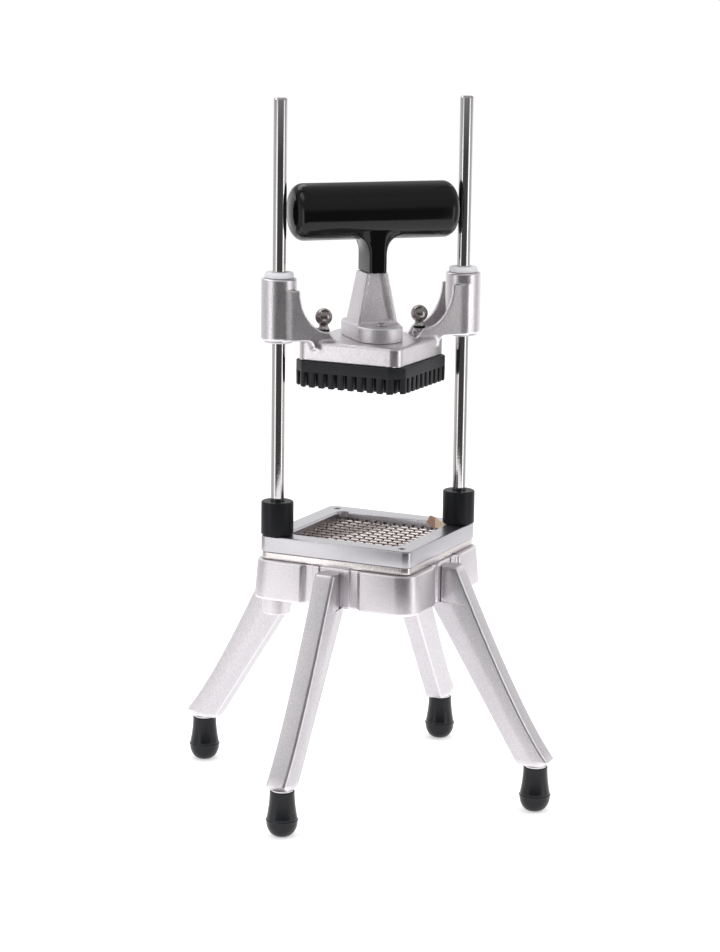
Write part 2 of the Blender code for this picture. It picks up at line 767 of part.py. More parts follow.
rod_bolt_profile = [(0, bolt_head_bottom), (rod_bolt_head_radius, bolt_head_bottom),
                    (rod_bolt_head_radius, bolt_head_top), (rod_bolt_radius, bolt_head_top),
                    (rod_bolt_radius, rod_bottom + rod_bolt_reach), (0, rod_bottom + rod_bolt_reach)]
rod_bolt_mesh = mesh_from(turned(rod_bolt_profile, bolt_segments), "rod_bolt")
for side, place in zip(("left", "right"), rod_places):
    build_object("guide_rod_" + side, rod_mesh, polished_steel, place=place)
    build_object("bumper_" + side, bumper_mesh, black_plastic, place=place)
    build_object("rod_bolt_" + side, rod_bolt_mesh, polished_steel, place=place)

# Pusher head: plate, twin webs, channel floors and sleeves in one casting
plate_face = plate_half - plate_bevel
head_plate = loft([
    [(a, b, plate_bottom) for a, b in rounded_rectangle(plate_half, plate_half, plate_corner_radius)],
    [(a, b, plate_top - plate_bevel)
     for a, b in rounded_rectangle(plate_half, plate_half, plate_corner_radius)],
    [(a, b, plate_top)
     for a, b in rounded_rectangle(plate_face, plate_face, plate_corner_radius - plate_bevel)]])
head = build_object("pusher_head", mesh_from(spun(head_plate, square_turn), "pusher_head"),
                    cast_aluminium, parent=pusher)


# One arm's outline in side view, as (x, z) points: the underside with its small
# scoop runs from the sleeve in to the plate, the top edge scoops down to the plate.
# A channel from above leaves two webs and a floor
arm_bottom = sleeve_bottom + web_inset
arm_underside = [(rod_reach, arm_bottom)]
for i in range(web_underscoop_steps + 1):
    angle = pi / 2 * i / web_underscoop_steps
    arm_underside.append((rod_reach - web_underscoop_reach - web_underscoop * sin(angle),
                          arm_bottom - web_underscoop * (1 - cos(angle))))
arm_root = arm_bottom - web_underscoop
web_top = sleeve_top - web_top_drop
web_neck = rod_reach - sleeve_radius + web_neck_gap
web_toe = web_neck - web_scoop_width - web_toe_run
web_outline = arm_underside + [(web_toe, arm_root), (web_toe, plate_top - web_inset)]
for i in range(web_scoop_steps, -1, -1):
    angle = pi / 2 * i / web_scoop_steps
    web_outline.append((web_neck - web_scoop_width * (1 - cos(angle)),
                        web_top - web_scoop_height * sin(angle)))
web_outline.append((rod_reach, web_top))
channel_start = pin_reach + barrel_collar_radius + 2 * gap
channel_top = arm_bottom + channel_floor
web_outer = sleeve_radius - web_inset
web_inner = web_outer - web_thickness
arm_pattern = build_object("arm_pattern", mesh_from(loft(
    [[(x, y, z) for x, z in web_outline] for y in (-web_outer, web_outer)]), "arm"), cast_aluminium)
channel_outline = [(web_toe - overrun, plate_top - weld), (channel_start, plate_top - weld),
                   (channel_start, channel_top), (rod_reach + overrun, channel_top),
                   (rod_reach + overrun, web_top + overrun), (web_toe - overrun, web_top + overrun)]
boolean(arm_pattern, loft([[(x, y, z) for x, z in channel_outline]
                           for y in (-web_inner, web_inner)]), "DIFFERENCE")
arm_mesh = applied(arm_pattern)
bpy.data.objects.remove(arm_pattern, do_unlink=True)
for turn in (0, pi):
    arm = bmesh.new()
    arm.from_mesh(arm_mesh)
    boolean(head, spun(arm, turn), "UNION")
sleeve_profile = [(0, sleeve_bottom), (sleeve_radius - sleeve_edge, sleeve_bottom),
                  (sleeve_radius, sleeve_bottom + sleeve_edge),
                  (sleeve_radius, sleeve_top - sleeve_edge),
                  (sleeve_radius - sleeve_edge, sleeve_top), (0, sleeve_top)]
boolean(head, joined(*[moved(turned(sleeve_profile, tube_segments), place)
                       for place in rod_places]), "UNION")
pin_places = ((-pin_reach, 0, 0), (pin_reach, 0, 0))
stem_screw_places = ((0, -stem_screw_reach, 0), (0, stem_screw_reach, 0))
stem_screw_tip = plate_top - stem_screw_bite


def bores(radius, segments, bottom, top, places):
    """Round holes of one size, as cutters."""
    return [moved(prism(circle(radius, segments), bottom, top), place) for place in places]


head_bores = bores(sleeve_bore_radius, bushing_segments, sleeve_bottom - overrun,
                   sleeve_top + overrun, rod_places)
head_bores += bores(barrel_thread_radius + gap, foot_segments, plate_bottom - overrun,
                    plate_top + overrun, pin_places)
head_bores += bores(stem_screw_radius + gap, bolt_segments, stem_screw_tip - gap,
                    plate_top + overrun, stem_screw_places)
boolean(head, joined(*head_bores), "DIFFERENCE")


# Nylon bushings in the sleeve ends
def bushing(end, outward, flange, edge):
    """Tube inside the sleeve and flange outside, outward being +1 at the top."""
    inner_end = end - outward * bushing_length
    seat = end + outward * gap
    face = seat + outward * flange
    return [(rod_hole_radius, inner_end), (bushing_radius, inner_end), (bushing_radius, seat),
            (bushing_flange_radius, seat), (bushing_flange_radius, face - outward * edge),
            (bushing_flange_radius - edge, face), (rod_hole_radius, face)]


upper_bushing = mesh_from(turned(bushing(sleeve_top, 1, bushing_top_flange, bushing_top_round),
                                 bushing_segments), "upper_bushing")
lower_bushing = mesh_from(turned(bushing(sleeve_bottom, -1, bushing_low_flange, gap),
                                 bushing_segments), "lower_bushing")
for side, place in zip(("left", "right"), rod_places):
    build_object("bushing_" + side + "_upper", upper_bushing, white_nylon, pusher, place)
    build_object("bushing_" + side + "_lower", lower_bushing, white_nylon, pusher, place)

# Handle stem: an oblong foot and a tapered column with a recess front and back
stem_foot_length = stem_base_reach + stem_base_radius


def stem_foot_ring(inset, z):
    radius = stem_base_radius - inset
    return [(x, y, z) for x, y in rounded_rectangle(radius, stem_foot_length - inset, radius,
                                                    stem_steps)]


stem = build_object("handle_stem", mesh_from(loft([
    stem_foot_ring(0, stem_bottom), stem_foot_ring(0, stem_base_top - stem_base_edge),
    stem_foot_ring(stem_base_edge, stem_base_top)]), "handle_stem"), cast_aluminium, parent=pusher)


def column_ring(z, trim_x=0.0, trim_y=0.0):
    """The column's outline at a height, each half size less a trim."""
    share = (z - stem_base_top) / stem_column_height
    half_x = stem_foot_half_width + share * (stem_top_half_width - stem_foot_half_width)
    half_y = stem_foot_half_depth + share * (stem_top_half_depth - stem_foot_half_depth)
    return half_x - trim_x, half_y - trim_y


column = loft([[(x, y, z) for x, y in rounded_rectangle(*column_ring(z), stem_corner, 1)]
               for z in (stem_base_top - weld, column_top)])
boolean(stem, column, "UNION")
recesses = []
for side in (-1, 1):
    recess_rings = []
    for z in (stem_base_top + stem_recess_foot, column_top + overrun):
        half_x, floor_y = column_ring(z, stem_rib, stem_recess_depth)
        edge_y = floor_y + stem_recess_depth + overrun
        recess_rings.append([(-half_x, side * floor_y, z), (half_x, side * floor_y, z),
                             (half_x, side * edge_y, z), (-half_x, side * edge_y, z)])
    recesses.append(loft(recess_rings))
boolean(stem, joined(*recesses), "DIFFERENCE")
boolean(stem, prism(rounded_rectangle(tang_half_width, tang_half_depth, stem_corner, 1),
                    column_top - weld, column_top + tang_height), "UNION")
boolean(stem, joined(*bores(stem_screw_radius + gap, bolt_segments, stem_bottom - overrun,
                            stem_base_top + overrun, stem_screw_places)), "DIFFERENCE")
screw_seat = stem_base_top + gap
screw_crown = screw_seat + stem_screw_head_height
stem_screw = [(0, stem_screw_tip), (stem_screw_radius, stem_screw_tip),
              (stem_screw_radius, screw_seat), (stem_screw_head_radius, screw_seat),
              (stem_screw_head_radius, screw_crown - stem_screw_crown),
              (stem_screw_crown_radius, screw_crown), (0, screw_crown)]
stem_screw_mesh = mesh_from(turned(stem_screw, bolt_segments), "stem_screw")
for side, place in zip(("front", "back"), stem_screw_places):
    build_object("stem_screw_" + side, stem_screw_mesh, polished_steel, pusher, place)

# Grip: a bar along X with rounded ends, and a neck that flares up into it
grip_half = rod_reach - rod_radius - grip_side_clearance
grip_shoulder = grip_half - grip_end_crown - grip_end_radius
end_arc = [(grip_radius - grip_end_radius * (1 - cos(a)), grip_shoulder + grip_end_radius * sin(a))
           for a in np.linspace(0, pi / 2, corner_steps + 1)]
grip_profile = [(0, -grip_half)] + [(r, -x) for r, x in reversed(end_arc)] + end_arc
grip_profile.append((0, grip_half))
grip_bar = moved(spun(turned(grip_profile, grip_segments), pi / 2, "Y"), (0, 0, grip_height))
grip = build_object("handle_grip", mesh_from(grip_bar, "handle_grip"), glossy_black, parent=pusher)
neck_bottom = column_top + gap
neck_rise = grip_height - grip_radius + neck_into_grip - neck_bottom
neck_rings = []
for width_share, rise_share in zip(neck_flare_width_shares, neck_flare_rise_shares):
    neck_outline = rounded_rectangle(neck_half_width + neck_flare * width_share, neck_half_depth,
                                     neck_corner_radius)
    neck_rings.append([(x, y, neck_bottom + rise_share * neck_rise) for x, y in neck_outline])
boolean(grip, loft(neck_rings), "UNION")
boolean(grip, prism(rounded_rectangle(tang_half_width + gap, tang_half_depth + gap, stem_corner, 1),
                    neck_bottom - overrun, column_top + tang_height + gap), "DIFFERENCE")

# Push block: a rim with cut corners whose underside is grooved into pegs
block_outline = [(block_half, block_half - block_corner_cut),
                 (block_half - block_corner_cut, block_half)]
block_outline += [(-a, b) for a, b in reversed(block_outline)]
block_outline += [(-a, -b) for a, b in block_outline]
block_bm = prism(block_outline, slot_ceiling, block_top)
groove_edges = [place + side * slot_width / 2 for place in slot_places for side in (-1, 1)]
block_bm.faces.ensure_lookup_table()
for axis in (0, 1):
    for offset in groove_edges:
        underside = [f for f in block_bm.faces if f.calc_center_median().z < slot_ceiling + gap]
        cut_geometry = underside + list({e for f in underside for e in f.edges})
        cut_geometry += list({v for f in underside for v in f.verts})
        across = Vector((1 - axis, axis, 0))
        bmesh.ops.bisect_plane(block_bm, geom=cut_geometry, plane_co=offset * across,
                               plane_no=across)


def is_peg(face):
    """True for a cell of the underside that lies clear of every groove."""
    centre = face.calc_center_median()
    if centre.z > slot_ceiling + gap:
        return False
    return all(abs(centre[axis] - place) > slot_width / 2 for axis in (0, 1) for place in slot_places)


pegs = [f for f in block_bm.faces if is_peg(f) and len(f.verts) > 3]
made = bmesh.ops.extrude_discrete_faces(block_bm, faces=pegs)["faces"]
bmesh.ops.translate(block_bm, vec=Vector((0, 0, peg_tip_length - peg_length)),
                    verts=list({v for f in made for v in f.verts}))
bmesh.ops.inset_individual(block_bm, faces=made, thickness=peg_tip_inset, depth=peg_tip_length)
push_block = build_object("push_block", mesh_from(block_bm, "push_block"), black_plastic,
                          parent=pusher_square)
boolean(push_block, joined(*bores(pin_nose_radius + gap, foot_segments,
                                  block_top - pin_hole_depth, block_top + overrun, pin_places)),
        "DIFFERENCE", parent=pusher)

# Pull pins: a barrel in the plate, a ring on it, a spring, the pin and its ball knob
collar_bottom = plate_top + gap
collar_top = collar_bottom + barrel_collar_height
barrel_foot = plate_bottom + barrel_foot_clearance
bore_ceiling = collar_top - barrel_bore_ceiling
shaft_hole = pin_shaft_radius + gap
ring_bottom = collar_top + gap
knob_bottom = ring_bottom + ring_thickness + gap
ball_height = knob_bottom + knob_rise
nose_bottom = block_top - pin_nose_engagement
nose_top = nose_bottom + pin_nose_length
barrel_profile = [(barrel_bore_radius, barrel_foot), (barrel_thread_radius, barrel_foot),
                  (barrel_thread_radius, collar_bottom), (barrel_collar_radius, collar_bottom),
                  (barrel_collar_radius, collar_top - barrel_edge),
                  (barrel_collar_radius - barrel_edge, collar_top), (shaft_hole, collar_top),
                  (shaft_hole, bore_ceiling), (barrel_bore_radius, bore_ceiling)]
ring_profile = [(shaft_hole, ring_bottom), (ring_radius, ring_bottom),
                (ring_radius, ring_bottom + ring_thickness), (shaft_hole, ring_bottom + ring_thickness)]
pin_profile = [(0, nose_bottom), (pin_nose_radius - pin_nose_chamfer, nose_bottom),
               (pin_nose_radius, nose_bottom + pin_nose_chamfer), (pin_nose_radius, nose_top),
               (pin_shaft_radius, nose_top), (pin_shaft_radius, ball_height), (0, ball_height)]
ball_start = np.arcsin(knob_neck_radius / knob_radius)
ball_arc = [(knob_radius * sin(a), ball_height - knob_radius * cos(a))
            for a in np.linspace(ball_start, pi, knob_steps + 1)[:-1]]
knob_profile = [(shaft_hole, knob_bottom), (knob_skirt_radius, knob_bottom),
                (knob_neck_radius, knob_bottom + knob_skirt_height)] + ball_arc
knob_profile += [(0, ball_height + knob_radius), (0, ball_height + gap),
                 (shaft_hole, ball_height + gap)]
spring_bottom = nose_top + gap + spring_wire_radius
spring_rise = bore_ceiling - gap - spring_wire_radius - spring_bottom


def spring():
    """A helical wire, each ring of points lying in the plane of the axis."""
    steps = spring_turns * spring_turn_points
    coils = []
    for i in range(steps + 1):
        turn = 2 * pi * i / spring_turn_points
        ring = []
        for k in range(spring_wire_sides):
            around = 2 * pi * k / spring_wire_sides
            radius = spring_coil_radius + spring_wire_radius * cos(around)
            height = spring_bottom + spring_rise * i / steps + spring_wire_radius * sin(around)
            ring.append((radius * cos(turn), radius * sin(turn), height))
        coils.append(ring)
    return loft(coils)


barrel_mesh = mesh_from(turned(barrel_profile, foot_segments), "barrel")
ring_mesh = mesh_from(turned(ring_profile, foot_segments), "ring")
pin_mesh = mesh_from(turned(pin_profile, bolt_segments), "pin")
knob_mesh = mesh_from(turned(knob_profile, foot_segments), "knob")
spring_mesh = mesh_from(spring(), "spring", 60)
for side, x in (("left", -pin_reach), ("right", pin_reach)):
    build_object("pin_barrel_" + side, barrel_mesh, polished_steel, pusher, (x, 0, 0))
    build_object("pin_ring_" + side, ring_mesh, black_rubber, pusher, (x, 0, 0))
    build_object("pin_spring_" + side, spring_mesh, polished_steel, pusher, (x, 0, 0))
    pin_axis = empty(side + "_pin_slide", place=(x, 0, 0), parent=pusher)
    build_object("lock_pin_" + side, pin_mesh, polished_steel, pin_axis)
    build_object("ball_knob_" + side, knob_mesh, gunmetal, pin_axis)
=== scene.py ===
import bmesh
import bpy
import numpy as np
from math import cos, pi, radians, sin
from mathutils import Matrix, Vector


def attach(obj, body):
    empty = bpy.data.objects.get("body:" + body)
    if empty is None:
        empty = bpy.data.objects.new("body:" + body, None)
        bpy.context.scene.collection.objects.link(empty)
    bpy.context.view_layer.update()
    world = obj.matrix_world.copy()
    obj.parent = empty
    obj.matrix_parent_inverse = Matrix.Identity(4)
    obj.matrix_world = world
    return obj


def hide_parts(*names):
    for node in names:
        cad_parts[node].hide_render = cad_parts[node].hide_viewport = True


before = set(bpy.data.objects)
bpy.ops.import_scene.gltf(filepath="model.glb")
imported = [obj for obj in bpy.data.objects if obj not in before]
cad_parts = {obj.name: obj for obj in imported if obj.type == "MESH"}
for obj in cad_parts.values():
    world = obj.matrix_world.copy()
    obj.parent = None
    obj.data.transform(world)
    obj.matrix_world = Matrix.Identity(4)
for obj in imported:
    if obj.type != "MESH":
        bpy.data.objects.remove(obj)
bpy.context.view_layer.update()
rootTwo = 2 ** 0.5
mm = 0.001


# Lengths given in millimetres, kept in metres, beside the values that aren't lengths
def sized(plain=(), **lengths):
    return {**dict(plain), **{key: length * mm if np.isscalar(length) else
                              tuple(part * mm for part in length)
                              for key, length in lengths.items()}}


# A polyline whose corners C become arcs that start reach before C and end reach after it:
# P(t) = ((1-t)^2 A + 2 w t (1-t) C + t^2 B) / ((1-t)^2 + 2 w t (1-t) + t^2), and w, the sine
# of half the corner's angle, makes the arc round
def softCorners(corners, reach, steps=7, closed=True):
    corners = np.asarray(corners, float)
    before = np.roll(corners, 1, axis=0) - corners
    after = np.roll(corners, -1, axis=0) - corners
    reach = np.array(np.broadcast_to(reach, len(corners)), float)
    if not closed:
        before[0], after[-1] = -after[0], -before[-1]
        reach[[0, -1]] = 0
    before /= np.linalg.norm(before, axis=1, keepdims=True)
    after /= np.linalg.norm(after, axis=1, keepdims=True)
    weight = np.sqrt(np.clip((1 - (before * after).sum(1)) / 2, 0, 1))[:, None, None]
    t = np.linspace(0, 1, steps)[None, :, None]
    start = (corners + before * reach[:, None])[:, None]
    stop = (corners + after * reach[:, None])[:, None]
    blend = (1 - t) ** 2 * start + 2 * weight * t * (1 - t) * corners[:, None] + t ** 2 * stop
    blend /= (1 - t) ** 2 + 2 * weight * t * (1 - t) + t ** 2
    return blend.reshape(-1, corners.shape[1])


# Corners of a rectangle, anticlockwise, rounded to a radius
def softRectangle(halfX, halfY, radius, steps=9):
    corners = [(halfX, -halfY), (halfX, halfY), (-halfX, halfY), (-halfX, -halfY)]
    return softCorners(corners, radius, steps)


# Outward mitre of each point of an anticlockwise outline: (n1 + n2) / (1 + n1 . n2)
def mitres(outline):
    edge = np.roll(outline, -1, axis=0) - outline
    length = np.maximum(np.linalg.norm(edge, axis=1), 1e-9)
    normal = np.stack([edge[:, 1], -edge[:, 0]], axis=1) / length[:, None]
    previous = np.roll(normal, 1, axis=0)
    return (normal + previous) / (1 + (normal * previous).sum(1))[:, None]


# Rings of an outline: P = outline - inset * mitre, at height z, for each (inset, z)
def carried(outline, profile):
    inset, height = np.asarray(profile, float).T
    flat = outline[None] - inset[:, None, None] * mitres(outline)[None]
    z = np.broadcast_to(height[:, None, None], flat.shape[:2] + (1,))
    return np.concatenate([flat, z], axis=2)


# (inset, z) rows of a rounded rim: inset = r (1 - cos a), z = edge -/+ r (1 - sin a), with a
# flat ring inside it that keeps the shading of the face level
def rim(z, radius, upward, steps=5, flat=0.0004):
    a = np.linspace(0, pi / 2, steps)
    rows = np.stack([radius * (1 - np.cos(a)), z - upward * radius * (1 - np.sin(a))], axis=1)
    rows = np.concatenate([rows, [[radius + flat, z]]])
    return rows if upward > 0 else rows[::-1]


# Points (a, b, z) of the square frame in the row frame: x = (a + b) / root 2, y = (b - a) / root 2
def fromSquare(points):
    a, b, z = points[..., 0], points[..., 1], points[..., 2]
    return np.stack([(a + b) / rootTwo, (b - a) / rootTwo, z], axis=-1)


# P turned by an angle about +Z and then moved
def placed(points, angle=0.0, move=(0, 0, 0)):
    x, y, z = points[..., 0], points[..., 1], points[..., 2]
    turned = np.stack([x * cos(angle) - y * sin(angle), x * sin(angle) + y * cos(angle), z], axis=-1)
    return turned + np.asarray(move, float)


# A profile of (r, z) turned about +Z: P = (r cos t, r sin t, z)
def lathe(profile, segments=64, move=(0, 0, 0)):
    radius, height = np.asarray(profile, float).T
    t = np.linspace(0, 2 * pi, segments, endpoint=False)
    grid = np.stack([radius[:, None] * np.cos(t), radius[:, None] * np.sin(t),
                     np.broadcast_to(height[:, None], (len(radius), segments))], axis=-1)
    return grid + np.asarray(move, float)


# Radius of an outline at given polar angles, read off between its own points
def radiusAt(outline, angles):
    own = np.arctan2(outline[:, 1], outline[:, 0])
    order = np.argsort(own)
    return np.interp(angles, own[order], np.hypot(*outline[order].T), period=2 * pi)


# Marks where a mesh's convex edges get a painted highlight: at each vertex, the sharpest convex
# turn between two faces that share one of its edges, slivers left out, taken from 0 at the angle
# given to 1 at 3 degrees more
def markHighlitEdges(mesh, angle):
    edgeOf, total = np.zeros(len(mesh.loops), int), np.zeros(len(mesh.polygons), int)
    area = np.zeros(len(mesh.polygons))
    mesh.polygons.foreach_get("area", area)
    normal, centre = np.zeros((2, len(mesh.polygons), 3))
    ends = np.zeros((len(mesh.edges), 2), int)
    mesh.loops.foreach_get("edge_index", edgeOf)
    mesh.polygons.foreach_get("loop_total", total)
    mesh.polygons.foreach_get("normal", normal.reshape(-1))
    mesh.polygons.foreach_get("center", centre.reshape(-1))
    mesh.edges.foreach_get("vertices", ends.reshape(-1))
    faceOf = np.repeat(np.arange(len(total)), total)
    paired = np.bincount(edgeOf, minlength=len(ends)) == 2
    order = np.argsort(edgeOf, kind="stable")
    first, second = faceOf[order][paired[edgeOf[order]]].reshape(-1, 2).T
    bend = np.degrees(np.arccos(np.clip((normal[first] * normal[second]).sum(1), -1, 1)))
    bend[((centre[second] - centre[first]) * normal[first]).sum(1) > 0] = 0
    bend[np.minimum(area[first], area[second]) < 0.03 * mm ** 2] = 0
    sharpest = np.zeros(len(mesh.vertices))
    np.maximum.at(sharpest, ends[paired].reshape(-1), np.repeat(bend, 2))
    share = np.clip((sharpest - angle) / 3, 0, 1)
    mesh.attributes.new("paintedHighlight", "FLOAT", "POINT").data.foreach_set("value", share)


# Turns vertices and faces into a piece at the origin, riding on a body. The last argument is the
# turn between faces, in degrees, from which a convex edge gets a painted highlight
def finishPiece(name, vertices, faces, material, body, stands=(), crease=38, paintedHighlight=0):
    mesh = bpy.data.meshes.new(name)
    mesh.from_pydata(vertices, [], faces)
    shape = bmesh.new()
    shape.from_mesh(mesh)
    bmesh.ops.remove_doubles(shape, verts=shape.verts, dist=2e-6)
    bmesh.ops.recalc_face_normals(shape, faces=shape.faces)
    shape.to_mesh(mesh)
    shape.free()
    mesh.shade_smooth()
    mesh.set_sharp_from_angle(angle=radians(crease))
    if paintedHighlight:
        markHighlitEdges(mesh, paintedHighlight)
    mesh.materials.append(material)
    piece = bpy.data.objects.new(name, mesh)
    bpy.context.scene.collection.objects.link(piece)
    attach(piece, body)
    if stands:
        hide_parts(*stands)
    return piece


# Closed shells from grids of rings: vertex (i, j) is i * columns + j, and each quad joins ring i
# to ring i + 1. A loop of rings closes on itself, the others get a face on each end
def shellPiece(name, shells, material, body, stands=(), crease=38, paintedHighlight=0):
    vertices, faces, first = [], [], 0
    for grid, looped in shells:
        rows, columns = grid.shape[:2]
        i, j = np.meshgrid(np.arange(rows if looped else rows - 1), np.arange(columns),
                           indexing="ij")
        ahead, beside = (i + 1) % rows, (j + 1) % columns
        quads = np.stack([i * columns + j, i * columns + beside,
                          ahead * columns + beside, ahead * columns + j], axis=-1)
        faces += (quads.reshape(-1, 4) + first).tolist()
        if not looped:
            ring = first + np.arange(columns)
            faces += [ring[::-1].tolist(), (ring + (rows - 1) * columns).tolist()]
        vertices.append(grid.reshape(-1, 3))
        first += rows * columns
    return finishPiece(name, np.concatenate(vertices), faces, material, body, stands, crease,
                       paintedHighlight)


# Takes a closed shell away from a piece and keeps the result as its mesh
def cutFrom(piece, grid, crease=38):
    cutter = shellPiece("cutter", [(grid, False)], piece.data.materials[0], "stand")
    change = piece.modifiers.new("cut", "BOOLEAN")
    change.operation = "DIFFERENCE"
    change.solver = "EXACT"
    change.object = cutter
    bpy.context.view_layer.update()
    evaluated = piece.evaluated_get(bpy.context.evaluated_depsgraph_get())
    piece.data = bpy.data.meshes.new_from_object(evaluated)
    piece.modifiers.clear()
    piece.data.set_sharp_from_angle(angle=radians(crease))
    bpy.data.objects.remove(cutter, do_unlink=True)


# A shader node with its settings, its inputs linked or set
def node(tree, kind, inputs=(), **settings):
    made = tree.nodes.new(kind)
    for key, value in settings.items():
        setattr(made, key, value)
    for key, value in dict(inputs).items():
        if isinstance(value, bpy.types.NodeSocket):
            tree.links.new(value, made.inputs[key])
        else:
            made.inputs[key].default_value = value
    return made


# A value carried from one range to another
def ranged(tree, value, fromMin, fromMax, toMin=0.0, toMax=1.0):
    return node(tree, "ShaderNodeMapRange", {"Value": value, "From Min": fromMin, "From Max": fromMax,
                "To Min": toMin, "To Max": toMax}).outputs["Result"]


# Two colours mixed by a share
def mixed(tree, share, first, second):
    return node(tree, "ShaderNodeMix", {"Factor": share, 6: first, 7: second},
                data_type="RGBA").outputs[2]


# A finish whose colour and roughness wander with two noises, a slow one and a fine grain, and
# whose surface is roughened by the grain. Stretch squeezes the grain along an axis for brushing.
# A blade's entry of heights and a bright colour paints a highlight on its top over painted shade
# below, the colour being mixed by z, and a gain lightens the colour into a painted highlight along
# the convex edges marked on the mesh
def newFinish(name, values):
    made = bpy.data.materials.new(name)
    made.use_nodes = True
    tree = made.node_tree
    shader = tree.nodes["Principled BSDF"]
    shader.inputs["Metallic"].default_value = values.get("metal", 0.0)
    shader.inputs["Specular IOR Level"].default_value = values.get("specular", 0.5)
    shader.inputs["Coat Weight"].default_value = values.get("coat", 0.0)
    shader.inputs["Coat Roughness"].default_value = values.get("coatRough", 0.1)
    place = node(tree, "ShaderNodeTexCoord").outputs["Object"]
    stretched = node(tree, "ShaderNodeMapping", {"Vector": place,
                     "Rotation": (0, 0, values.get("turn", 0.0)),
                     "Scale": values.get("stretch", (1, 1, 1))}).outputs["Vector"]
    slow = node(tree, "ShaderNodeTexNoise", {"Vector": place, "Scale": values["patch"],
                "Detail": 3.0, "Roughness": 0.55}).outputs["Fac"]
    fine = node(tree, "ShaderNodeTexNoise", {"Vector": stretched, "Scale": values["grain"],
                "Detail": 4.0, "Roughness": 0.65}).outputs["Fac"]
    both = node(tree, "ShaderNodeMix", {"Factor": values.get("fineShare", 0.6), "A": slow, "B": fine},
                data_type="FLOAT").outputs["Result"]
    spread = values["spread"]
    dark = tuple(c * (1 - spread) for c in values["colour"]) + (1,)
    light = tuple(min(1.0, c * (1 + spread)) for c in values["colour"]) + (1,)
    surface = mixed(tree, ranged(tree, both, *noiseRange), dark, light)
    # Painted light by height: the darker colour below stands in for the shade deep in the blade grid,
    # and the bright colour above is a painted highlight on the tops
    if "ground" in values:
        start, stop, bright = values["ground"]
        height = node(tree, "ShaderNodeSeparateXYZ", {"Vector": place}).outputs["Z"]
        surface = mixed(tree, ranged(tree, height, start, stop), surface, (*bright, 1))
    # Painted highlight: the colour lightened along the convex edges marked on the mesh
    if "highlightGain" in values:
        highlit = tuple(min(1.0, c * values["highlightGain"]) for c in values["colour"])
        paintedHighlight = node(tree, "ShaderNodeAttribute", attribute_name="paintedHighlight").outputs["Fac"]
        surface = mixed(tree, paintedHighlight, surface, (*highlit, 1))
    tree.links.new(surface, shader.inputs["Base Color"])
    tree.links.new(ranged(tree, both, *noiseRange, *values["rough"]), shader.inputs["Roughness"])
    bump = node(tree, "ShaderNodeBump", {"Height": fine, "Strength": values["bump"],
                "Distance": grainDepth})
    tree.links.new(bump.outputs["Normal"], shader.inputs["Normal"])
    return made


